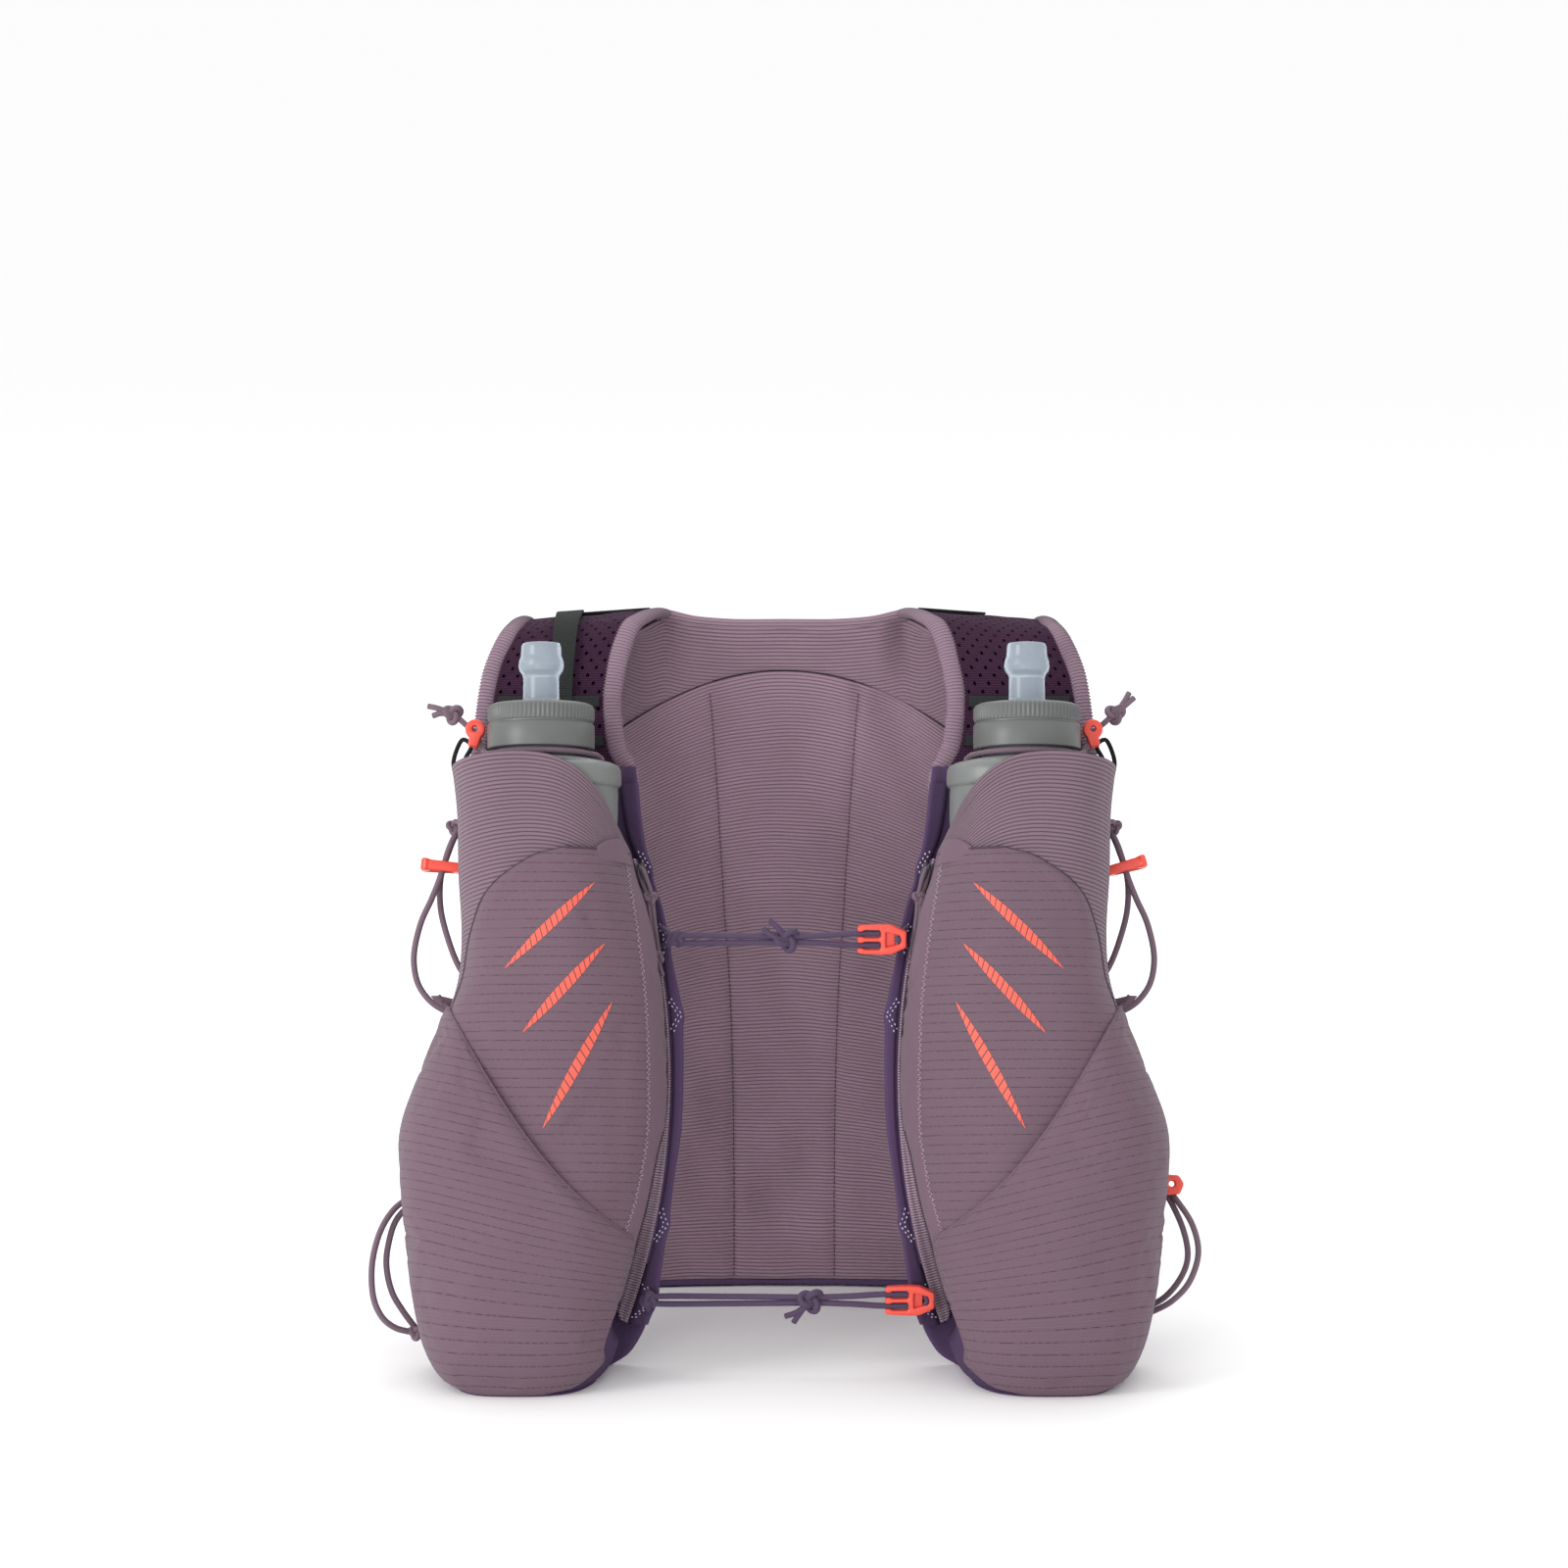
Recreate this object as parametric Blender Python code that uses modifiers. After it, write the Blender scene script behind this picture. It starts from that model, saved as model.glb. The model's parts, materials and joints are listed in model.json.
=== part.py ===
"""Running hydration vest with two soft flasks, standing on a floor.

Frame: +Z up, +X to the right as seen from the front, -Y towards the viewer, floor at Z 0.
"left" is -X. The two front panels lean back on their shoulder straps, in a tilted frame of their own:
t runs from the flask's axis towards the vest's middle, y to the wearer, z up along the panel.
Run it with: blender --background --python part.py
"""

import math

import bmesh
import bpy
from mathutils import Euler, Vector

# Driving dimensions, in metres.
FLASK_X = 0.116  # flask axis from the vest's middle
FOOT_Y = -0.080  # where the flask axis meets the floor
LEAN = math.radians(15.5)
SWING_X, SWING_Y = 0.105, 0.088  # vertical axis of a front panel, at its shoulder seam
FLASK_DEPTH = -0.012  # flask axis in front of the panel's frame
FLASK_SQUASH = 0.78  # depth of a flask as a share of its width
PANEL_FACE = 0.0215  # front face of the harness panel
PANEL_THICK = 0.005
SLEEVE_GAP = 0.0013
SLEEVE_WALL = 0.0013
SLEEVE_FLOOR = 0.101
GAP = 0.0006  # between layers of fabric

ZIP_RADIUS = 0.336  # each chest zip is an arc about this centre, in (t, z)
ZIP_CENTRE = (-0.274, 0.143)
ZIP_LOW, ZIP_HIGH = 0.052, 0.249
ZIP_PLANE = 0.0068
SLIDER_Z = 0.241
PULL_SWAY = {"left": 1.0, "right": 0.8}  # how far each zip's cord hangs towards the middle

MIDDLE_Y = 0.0307  # the whole vest is centred on the origin by this shift
BACK_Y = 0.096
BACK_CURVE = 0.95  # how much the back panel comes forward with the square of x
BACK_THICK = 0.005
BACK_HALF = 0.130
BAG_HALF, BAG_TOP, BAG_DEPTH = 0.122, 0.316, 0.058
BAG_ZIP_RADIUS, BAG_ZIP_Z = 0.083, 0.196

CORD_R = 0.0015
SIDES = {"left": -1, "right": 1}

# Outlines of a front panel: (z, t) pairs.
PANEL_OUTER = (
    (0.000, -0.034), (0.004, -0.046), (0.011, -0.0515), (0.022, -0.0555), (0.040, -0.0595),
    (0.062, -0.063), (0.105, -0.067), (0.120, -0.066), (0.145, -0.057), (0.178, -0.043),
    (0.192, -0.0385), (0.213, -0.0365), (0.240, -0.038), (0.294, -0.042),
)
PANEL_INNER = (
    (0.000, 0.021), (0.006, 0.032), (0.016, 0.043), (0.036, 0.0535), (0.076, 0.0605),
    (0.100, 0.0637), (0.120, 0.0665), (0.153, 0.0674), (0.177, 0.0664), (0.197, 0.0626),
    (0.226, 0.0570), (0.238, 0.0530), (0.262, 0.0479), (0.294, 0.0445),
)
DOME_OUTER = (
    (0.000, -0.032), (0.004, -0.044), (0.011, -0.0500), (0.022, -0.0545), (0.040, -0.0590),
    (0.062, -0.0625), (0.105, -0.0665), (0.120, -0.0655), (0.145, -0.0565), (0.166, -0.0495),
    (0.190, -0.0435), (0.213, -0.0415), (0.255, -0.0425),
)
DOME_INNER = (
    (0.000, 0.012), (0.004, 0.024), (0.012, 0.032), (0.030, 0.040), (0.041, 0.0450),
    (0.064, 0.0500), (0.0965, 0.0560), (0.150, 0.0590), (0.190, 0.0558), (0.209, 0.0525),
    (0.246, 0.0440), (0.255, 0.0400),
)
DOME_DEPTH = (
    (0.000, 0.010), (0.012, 0.030), (0.030, 0.045), (0.060, 0.056), (0.100, 0.0610),
    (0.200, 0.0640), (0.255, 0.0668),
)
# Outlines of the pockets: (z, t) along the outer side, bottom to top.
ZIP_POCKET_OUTER = (
    (0.1730, -0.0425), (0.180, -0.0385), (0.190, -0.0352), (0.205, -0.0332),
    (0.216, -0.0305), (0.227, -0.0258), (0.235, -0.0186), (0.241, -0.0103), (0.2465, 0.0000),
    (0.2495, 0.0120),
)
LOW_POCKET_TOP_OUTER, LOW_POCKET_TOP_INNER = 0.176, 0.063
LOW_POCKET_SAG = 0.014  # how far the diagonal mouth dips below a straight line
STEP_LOW, STEP_HIGH = 0.55, 0.80  # share of the low pocket's height where it thins to a front layer

FLASK_PROFILE = (
    (0.0000, 0.3165), (0.0215, 0.3165), (0.0215, 0.2945), (0.0310, 0.2925), (0.0365, 0.2895),
    (0.0385, 0.2840), (0.0372, 0.2600), (0.0335, 0.2000), (0.0305, 0.1450), (0.0262, 0.1265),
    (0.0180, 0.1195), (0.0000, 0.1180),
)
CAP_PROFILE = (
    (0.0225, 0.2990), (0.0225, 0.3175), (0.0064, 0.3175), (0.0064, 0.3207), (0.0240, 0.3207),
    (0.0250, 0.3195), (0.0250, 0.3120), (0.0256, 0.3112), (0.0256, 0.2990),
)
VALVE_PROFILE = (
    (0.0000, 0.3505), (0.0088, 0.3505), (0.0098, 0.3488), (0.0098, 0.3435), (0.0108, 0.3400),
    (0.0105, 0.3375), (0.0087, 0.3345), (0.0087, 0.3280), (0.0092, 0.3212), (0.0058, 0.3212),
    (0.0058, 0.3172), (0.0000, 0.3172),
)

# The strap's middle line over the shoulder, as (y, z), and its two edges at the same points.
STRAP_LINE = (
    (0.0205, 0.2523), (0.0286, 0.2812), (0.0360, 0.3050), (0.0460, 0.3260), (0.0580, 0.3400),
    (0.0720, 0.3460), (0.0880, 0.3468), (0.1020, 0.3462),
)
STRAP_INNER = (0.0820, 0.0830, 0.0885, 0.0865, 0.0815, 0.0725, 0.0695, 0.0690)
STRAP_OUTER = (0.1520, 0.1515, 0.1505, 0.1440, 0.1395, 0.1365, 0.1350, 0.1340)
STRAP_THICK = 0.0036
BINDING_R = 0.0034

COLOURS = {
    "mauve": (0.155, 0.115, 0.145), "purple": (0.075, 0.055, 0.105), "mesh": (0.035, 0.012, 0.030),
    "coral": (0.85, 0.10, 0.055), "charcoal": (0.025, 0.030, 0.027), "cap_grey": (0.14, 0.14, 0.14),
    "flask_grey": (0.25, 0.26, 0.26), "valve_blue": (0.52, 0.60, 0.66),
}
GLOSS = {"cap_grey": 0.45, "flask_grey": 0.35, "valve_blue": 0.3, "coral": 0.4}


# ---------------------------------------------------------------- helpers

def clear_scene():
    for obj in list(bpy.data.objects):
        bpy.data.objects.remove(obj, do_unlink=True)


def collection(name):
    made = bpy.data.collections.new(name)
    bpy.context.scene.collection.children.link(made)
    return made


def material(name):
    found = bpy.data.materials.get(name)
    if found:
        return found
    made = bpy.data.materials.new(name)
    made.use_nodes = True
    shader = made.node_tree.nodes["Principled BSDF"]
    shader.inputs["Base Color"].default_value = (*COLOURS[name], 1.0)
    shader.inputs["Roughness"].default_value = GLOSS.get(name, 0.9)
    shader.inputs["Metallic"].default_value = 0.0
    return made


def along(points, at):
    """The value at `at` on a smooth curve through (position, value) pairs."""
    if at <= points[0][0]:
        return points[0][1]
    if at >= points[-1][0]:
        return points[-1][1]
    i = max(k for k, point in enumerate(points[:-1]) if point[0] <= at)
    (x0, v0), (x1, v1) = points[i], points[i + 1]

    def slope(k):
        if k in (0, len(points) - 1):
            return (points[1][1] - points[0][1]) / (points[1][0] - points[0][0]) if k == 0 else (
                points[-1][1] - points[-2][1]) / (points[-1][0] - points[-2][0])
        return (points[k + 1][1] - points[k - 1][1]) / (points[k + 1][0] - points[k - 1][0])

    span, u = x1 - x0, (at - x0) / (x1 - x0)
    return (
        v0 * (1 + 2 * u) * (1 - u) ** 2 + v1 * u * u * (3 - 2 * u)
        + span * (slope(i) * u * (1 - u) ** 2 - slope(i + 1) * u * u * (1 - u))
    )


def spread(values):
    """Pairs a list of values with even positions from 0 to 1."""
    return tuple((i / (len(values) - 1), value) for i, value in enumerate(values))


def smooth_step(low, high, at):
    u = min(1.0, max(0.0, (at - low) / (high - low)))
    return u * u * (3 - 2 * u)


def mix(a, b, share):
    return a + (b - a) * share


def add(name, data, colour, parent=None, location=(0, 0, 0)):
    obj = bpy.data.objects.new(name, data)
    PARTS.objects.link(obj)
    data.materials.append(material(colour))
    obj.parent = parent or VEST
    obj.location = location
    return obj


def empty(name, parent, location, turn=(0, 0, 0)):
    made = bpy.data.objects.new(name, None)
    PARTS.objects.link(made)
    made.parent = parent
    made.location = location
    made.rotation_euler = Euler(turn)
    return made


def bent_box(name, colour, cells, place, parent=None):
    """A box cut into cells along its sides and bent: place(a, b, c) takes -1 to 1 and gives a point."""
    bm = bmesh.new()
    bmesh.ops.create_cube(bm, size=2)
    for axis, count in enumerate(cells):
        normal = Vector([float(k == axis) for k in range(3)])
        for i in range(1, count):
            geometry = bm.verts[:] + bm.edges[:] + bm.faces[:]
            bmesh.ops.bisect_plane(bm, geom=geometry, plane_co=normal * (2 * i / count - 1), plane_no=normal)
    for vert in bm.verts:
        vert.co = place(*vert.co)
    if bm.calc_volume(signed=True) < 0:
        bmesh.ops.reverse_faces(bm, faces=bm.faces)
    mesh = bpy.data.meshes.new(name)
    bm.to_mesh(mesh)
    bm.free()
    mesh.shade_smooth()
    mesh.set_sharp_from_angle(angle=math.radians(45))
    return add(name, mesh, colour, parent)


def cord(name, colour, points, radius=CORD_R, parent=None, swell=None, closed=False):
    """A round cord through the points; swell gives a radius factor at some of them, as at a knot."""
    data = bpy.data.curves.new(name, "CURVE")
    data.dimensions = "3D"
    data.bevel_depth = radius
    data.bevel_resolution = 1
    data.use_fill_caps = True
    spline = data.splines.new("POLY")
    spline.points.add(len(points) - 1)
    spline.use_cyclic_u = closed
    for i, point in enumerate(points):
        spline.points[i].co = (*point, 1.0)
        spline.points[i].radius = (swell or {}).get(i, 1.0)
    return add(name, data, colour, parent)


def turned(name, colour, profile, parent, steps=24, squash=1.0):
    """A turned solid from a (radius, height) profile, squashed in depth."""
    mesh = bpy.data.meshes.new(name)
    closed = profile[0][0] > 0
    edges = [(i, i + 1) for i in range(len(profile) - 1)] + ([(len(profile) - 1, 0)] if closed else [])
    mesh.from_pydata([(r, 0, z) for r, z in profile], edges, [])
    obj = add(name, mesh, colour, parent, (0, FLASK_DEPTH, 0))
    obj.scale = (1, squash, 1)
    screw = obj.modifiers.new("turn", "SCREW")
    screw.steps = screw.render_steps = steps
    screw.use_merge_vertices = True
    screw.merge_threshold = 0.0001
    screw.use_smooth_shade = True
    return obj


def plate(name, colour, loops, thickness, parent, location, turn=(0, 0, 0)):
    """A flat plate: a 2D outline, its first loop, with the other loops as holes."""
    data = bpy.data.curves.new(name, "CURVE")
    data.dimensions = "2D"
    data.fill_mode = "BOTH"
    data.extrude = thickness / 2
    for loop in loops:
        spline = data.splines.new("POLY")
        spline.points.add(len(loop) - 1)
        spline.use_cyclic_u = True
        for i, (x, y) in enumerate(loop):
            spline.points[i].co = (x, y, 0, 1)
    obj = add(name, data, colour, parent, location)
    obj.rotation_euler = Euler(turn)
    return obj


def circle(x, y, radius, count=14):
    return [
        (x + radius * math.cos(2 * math.pi * i / count), y + radius * math.sin(2 * math.pi * i / count))
        for i in range(count)
    ]


def rectangle(x0, y0, x1, y1):
    return [(x0, y0), (x1, y0), (x1, y1), (x0, y1)]


# ---------------------------------------------------------------- front panel surfaces

def panel_face(t):
    """Front face of the harness panel, which comes forward at its inner edge."""
    return PANEL_FACE - 0.011 * smooth_step(0.035, 0.066, t)


def zip_t(z):
    """t of the chest zip at height z."""
    return ZIP_CENTRE[0] + math.sqrt(ZIP_RADIUS ** 2 - (z - ZIP_CENTRE[1]) ** 2)


def bulge(s):
    """Share of the dome's depth across it, from -1 at the outer side to 1 at the inner one."""
    s = max(-1.0, min(1.0, s))
    if s < 0:
        return (1 - abs(s) ** 4) ** (1 / 3)
    return (1 - s ** 2.5) ** (1 / 2.6)


def dome(t, z, offset):
    """y of the padded front surface, offset forward."""
    low, high = along(DOME_OUTER, z), along(DOME_INNER, z)
    across = 2 * (t - low) / (high - low) - 1
    return panel_face(t) - 0.002 - along(DOME_DEPTH, z) * bulge(across) - offset


def on_floor(t, y, z):
    """Shears the foot of a leaning piece, so that it stands flat on the floor."""
    foot = max(0.0, 1 - z / 0.040)
    return t, y, z + 0.0006 + y * math.tan(LEAN) * foot


def in_front(side, t, y, z):
    """A point of a front panel's frame as its empty holds it."""
    return Vector((-side * t, y, z))


# ---------------------------------------------------------------- front panel pieces

def harness_panel(name, side, parent):
    def place(a, b, c):
        z = 0.294 * ((c + 1) / 2) ** 1.5
        t = mix(along(PANEL_OUTER, z), along(PANEL_INNER, z), (a + 1) / 2)
        y = panel_face(t) + (PANEL_THICK if b > 0 else 0)
        return in_front(side, *on_floor(t, y, z))

    bent_box(f"{name}_harness_panel", "purple", (6, 1, 14), place, parent)


def zip_pocket(name, side, parent):
    def place(a, b, c):
        share = (c + 1) / 2
        outer_z = mix(ZIP_POCKET_OUTER[0][0], ZIP_POCKET_OUTER[-1][0], share)
        inner_z = mix(LOW_POCKET_TOP_INNER + 0.0020, ZIP_HIGH, share)
        u = (a + 1) / 2
        z = mix(outer_z, inner_z, u) - LOW_POCKET_SAG * math.sin(math.pi * u) * (1 - share)
        t = mix(along(ZIP_POCKET_OUTER, outer_z), zip_t(inner_z) - 0.0035, u)
        return in_front(side, t, dome(t, z, 0.0045 if b < 0 else 0.0), z)

    bent_box(f"{name}_zip_pocket", "mauve", (8, 1, 12), place, parent)


def low_pocket(name, side, parent):
    def place(a, b, c):
        share = ((c + 1) / 2) ** 1.25
        u = (a + 1) / 2
        outer_z, inner_z = share * LOW_POCKET_TOP_OUTER, share * LOW_POCKET_TOP_INNER
        z = mix(outer_z, inner_z, u) - LOW_POCKET_SAG * math.sin(math.pi * u) * share
        t = mix(along(DOME_OUTER, outer_z), along(DOME_INNER, inner_z) - 0.001, u)
        front = dome(t, z, 0.0088)
        layer = mix(panel_face(t) - 0.0022, dome(t, z, 0.0053), smooth_step(STEP_LOW, STEP_HIGH, share))
        return in_front(side, *on_floor(t, front if b < 0 else layer, z))

    bent_box(f"{name}_stretch_pocket", "mauve", (8, 1, 14), place, parent)


def sleeve(name, side, parent):
    """The flask's stretch pocket: a cup round the flask, its mouth cut on a slant."""
    wall = [(r, z) for r, z in FLASK_PROFILE[5:10]]
    inside = [(r + SLEEVE_GAP, z) for r, z in wall]
    outside = [(r + SLEEVE_GAP + SLEEVE_WALL, z) for r, z in wall]
    inside = [(inside[0][0], 0.300)] + inside + [(0.0270, SLEEVE_FLOOR + 0.008), (0.0190, SLEEVE_FLOOR)]
    outside = [(outside[0][0], 0.300)] + outside + [
        (0.0283, SLEEVE_FLOOR + 0.0075), (0.0197, SLEEVE_FLOOR - SLEEVE_WALL)]
    profile = [(0, SLEEVE_FLOOR)] + inside[::-1] + outside + [(0, SLEEVE_FLOOR - SLEEVE_WALL)]
    cup = turned(f"{name}_flask_pocket", "mauve", profile, parent, 26, FLASK_SQUASH)
    slant = math.radians(20.5)
    bm = bmesh.new()
    bmesh.ops.create_cube(bm, size=0.2)
    mesh = bpy.data.meshes.new(f"{name}_mouth_cutter")
    bm.to_mesh(mesh)
    bm.free()
    cutter = bpy.data.objects.new(mesh.name, mesh)
    CUTTERS.objects.link(cutter)
    cutter.parent = parent
    cutter.location = Vector((0, 0, 0.2777)) + Vector((-side * math.sin(slant), 0, math.cos(slant))) * 0.1
    cutter.rotation_euler = Euler((0, -side * slant, 0))
    cutter.hide_render = True
    cutter.display_type = "WIRE"
    cut = cup.modifiers.new("mouth", "BOOLEAN")
    cut.operation = "DIFFERENCE"
    cut.solver = "EXACT"
    cut.object = cutter


def placket(name, side, parent):
    """The purple edge webbing that the chest cords hook to."""
    def place(a, b, c):
        z = mix(0.040, 0.286, (c + 1) / 2)
        outer = zip_t(min(z, 0.245)) + 0.0008 if z < 0.245 else along(
            ((0.245, 0.0471), (0.262, 0.0405), (0.286, 0.0367)), z)
        t = mix(outer, along(PANEL_INNER, z), (a + 1) / 2)
        y = panel_face(t) - (0.0016 if b > 0 else 0.0036)
        return in_front(side, t, y, z)

    bent_box(f"{name}_placket", "purple", (1, 1, 18), place, parent)


def chest_zip(name, side, parent):
    """The coil, its slider and the knotted cord that pulls it."""
    def place(a, b, c):
        z = mix(ZIP_LOW, ZIP_HIGH, (c + 1) / 2)
        t = zip_t(z) - (0.0003 if a > 0 else 0.0031)
        return in_front(side, t, ZIP_PLANE + (0.0025 if b > 0 else 0), z)

    bent_box(f"{name}_zip_coil", "mauve", (1, 1, 20), place, parent)
    hub = empty(f"{name}_zip_hub", parent, in_front(side, ZIP_CENTRE[0], 0, ZIP_CENTRE[1]))
    t, tilt = zip_t(SLIDER_Z), math.atan2(SLIDER_Z - ZIP_CENTRE[1], zip_t(SLIDER_Z) - ZIP_CENTRE[0])
    body = [(-0.0026, -0.0055), (0.0026, -0.0055), (0.0028, 0.0010), (0.0022, 0.0060), (-0.0022, 0.0060),
            (-0.0028, 0.0010)]
    centre = in_front(side, t + 0.0004 - ZIP_CENTRE[0], ZIP_PLANE - 0.0022, SLIDER_Z - ZIP_CENTRE[1])
    plate(f"{name}_zip_slider", "charcoal", [body], 0.0032, hub, centre,
          (math.radians(90), side * tilt, 0))
    eye = empty(f"{name}_zip_eye", hub, centre + Vector((0, -0.0041, 0.001)))
    drop = [(0.0, 0.0, 0.0), (0.0010, 0.0, -0.008), (0.0040, 0.0, -0.018), (0.0052, 0.0, -0.023),
            (0.0062, 0.0, -0.030), (0.0074, 0.0, -0.040), (0.0080, 0.0, -0.044), (0.0090, 0.0, -0.050)]
    sway = PULL_SWAY[name]
    points = [Vector((-side * x * sway, y, z)) for x, y, z in drop]
    cord(f"{name}_zip_pull", "mauve", points, 0.0015, eye, {2: 1.1, 3: 1.7, 5: 1.1, 6: 1.6, 7: 0.9})


def flask(name, parent):
    turned(f"{name}_flask", "flask_grey", FLASK_PROFILE, parent, 26, FLASK_SQUASH)
    turned(f"{name}_flask_cap", "cap_grey", CAP_PROFILE, parent, 26)
    turned(f"{name}_bite_valve", "valve_blue", VALVE_PROFILE, parent, 16)


def flask_bungee(name, side, parent):
    """The elastic that holds the flask's neck, its knotted tail and its toggle."""
    neck = []
    for step in range(9):
        angle = math.radians(mix(205, 345, step / 8))
        neck.append((0.0240 * math.cos(angle), FLASK_DEPTH + 0.0240 * math.sin(angle), 0.2968))
    path = [(-0.0545, 0.0030, 0.3195), (-0.0500, 0.0030, 0.3180), (-0.0460, 0.0030, 0.3165),
            (-0.0425, 0.0030, 0.3145), (-0.0375, 0.0030, 0.3085), (-0.0300, 0.0020, 0.3000),
            (-0.0262, -0.0120, 0.2972)] + neck + [(0.0262, -0.0060, 0.2972), (0.0275, 0.0100, 0.2975),
                                                (0.0280, 0.0225, 0.2980)]
    points = [in_front(side, *point) for point in path]
    cord(f"{name}_flask_bungee", "mauve", points, 0.0013, parent, {1: 1.1, 2: 2.3, 3: 2.2, 4: 1.1})
    outline = circle(0, 0.0010, 0.0043, 12)[:7] + [(-0.0030, -0.0060), (0.0012, -0.0075)]
    outline = [(-side * x, y) for x, y in outline]
    eye = [(-side * x, y) for x, y in circle(0, 0.0012, 0.0011, 8)]
    plate(f"{name}_bungee_toggle", "coral", [outline, eye], 0.0045, parent,
          in_front(side, -0.0335, 0.0132, 0.3025), (math.radians(90), 0, 0))


def side_cords(name, side, parent):
    """Two elastic side adjusters: loops of cord outside the panel, with a coral pull on each."""
    rear = [(-0.0400, 0.1973), (-0.0450, 0.2098), (-0.0488, 0.2249), (-0.0488, 0.2398), (-0.0447, 0.2534)]
    front = [(-0.0447, 0.2534), (-0.0488, 0.2398), (-0.0530, 0.2290), (-0.0581, 0.2174),
             (-0.0612, 0.2025), (-0.0597, 0.1900), (-0.0545, 0.1815), (-0.0490, 0.1775)]
    path = [(t, 0.0105, z) for t, z in rear] + [(-0.0418, 0.0080, 0.2620)] + [
        (t, 0.0052, z) for t, z in front]
    cord(f"{name}_upper_side_cord", "mauve", [in_front(side, *p) for p in path], CORD_R, parent)
    slide = empty(f"{name}_side_pull_slide", parent, in_front(side, -0.0477, 0.0078, 0.2450))
    outline = [(0.0098, -0.0062), (0.0098, 0.0062), (-0.0070, 0.0062), (-0.0102, 0.0035),
               (-0.0102, -0.0035), (-0.0070, -0.0062)]
    slot = rectangle(-0.0052, -0.0044, 0.0052, 0.0044)
    loops = [[(-side * t, y) for t, y in loop] for loop in (outline, slot)]
    plate(f"{name}_side_pull", "coral", loops, 0.0052, slide, (0, 0, 0))

    outer = [(-0.0610, 0.0225), (-0.0690, 0.0245), (-0.0755, 0.0300), (-0.0795, 0.0400),
             (-0.0800, 0.0550), (-0.0765, 0.0700), (-0.0712, 0.0790)]
    inner = [(-0.0705, 0.0720), (-0.0728, 0.0640), (-0.0735, 0.0540), (-0.0710, 0.0420), (-0.0660, 0.0330)]
    path = [(t, 0.0000, z) for t, z in outer] + [(-0.0695, 0.0020, 0.0775)] + [
        (t, 0.0045, z) for t, z in inner]
    cord(f"{name}_lower_side_cord", "mauve", [in_front(side, *p) for p in path], CORD_R, parent)
    outline = [(0.0040, -0.0045), (0.0040, 0.0045), (-0.0030, 0.0045), (-0.0052, 0.0010), (-0.0040, -0.0045)]
    # The left toggle has slipped behind the panel; the right one stands out beside it.
    t, y = (-0.0600, 0.0300) if side < 0 else (-0.0722, 0.0050)
    plate(f"{name}_lower_side_toggle", "coral", [[(-side * x, z) for x, z in outline]], 0.0050, parent,
          in_front(side, t, y, 0.0900), (math.radians(90), 0, 0))


def strap_sheet(name, colour, side, parent, cells, edges, lift, thick, ends=(0.0, 1.0)):
    """A band that follows the strap's line over the shoulder, lifted off its middle."""
    def place(a, b, c):
        v = mix(ends[0], ends[1], (c + 1) / 2)
        line = [along(spread([p[k] for p in STRAP_LINE]), v) for k in (0, 1)]
        ahead = [along(spread([p[k] for p in STRAP_LINE]), min(1.0, v + 0.01)) for k in (0, 1)]
        behind = [along(spread([p[k] for p in STRAP_LINE]), max(0.0, v - 0.01)) for k in (0, 1)]
        run = Vector((ahead[0] - behind[0], ahead[1] - behind[1])).normalized()
        out = lift + (thick / 2 if b < 0 else -thick / 2)
        inner, outer = edges(v)
        x = mix(inner, outer, (a + 1) / 2)
        return Vector((side * x - side * SWING_X, line[0] - run.y * out - SWING_Y, line[1] + run.x * out))

    bent_box(f"{name}", colour, cells, place, parent)


def strap_edges(margin):
    return lambda v: (along(spread(STRAP_INNER), v) + margin, along(spread(STRAP_OUTER), v) - margin)


def shoulder_strap(name, side, swing):
    strap_sheet(f"{name}_shoulder_strap", "mesh", side, swing, (4, 1, 14),
                strap_edges(2 * BINDING_R + 0.0012), 0.0, STRAP_THICK)
    if name == "left":
        strap_sheet(f"{name}_strap_webbing", "charcoal", side, swing, (1, 1, 12),
                    lambda v: (mix(0.103, 0.098, v), mix(0.115, 0.110, v)), 0.0031, 0.0012, (0.34, 0.92))
    for edge, values, sign in (("inner", STRAP_INNER, 1), ("outer", STRAP_OUTER, -1)):
        points = []
        for i in range(13):
            v = mix(0.165, 1.0, i / 12)
            y, z = (along(spread([p[k] for p in STRAP_LINE]), v) for k in (0, 1))
            x = along(spread(values), v) + sign * BINDING_R
            points.append((side * (x - SWING_X), y - SWING_Y, z))
        cord(f"{name}_{edge}_binding", "mauve", points, BINDING_R, swing)


def front(name, side):
    swing = empty(f"{name}_swing", VEST, (side * SWING_X, SWING_Y, 0))
    lean = empty(f"{name}_lean", swing, (side * (FLASK_X - SWING_X), FOOT_Y - SWING_Y, 0), (-LEAN, 0, 0))
    harness_panel(name, side, lean)
    zip_pocket(name, side, lean)
    low_pocket(name, side, lean)
    sleeve(name, side, lean)
    placket(name, side, lean)
    chest_zip(name, side, lean)
    flask(name, lean)
    flask_bungee(name, side, lean)
    side_cords(name, side, lean)
    shoulder_strap(name, side, swing)


# ---------------------------------------------------------------- sternum cords

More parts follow.
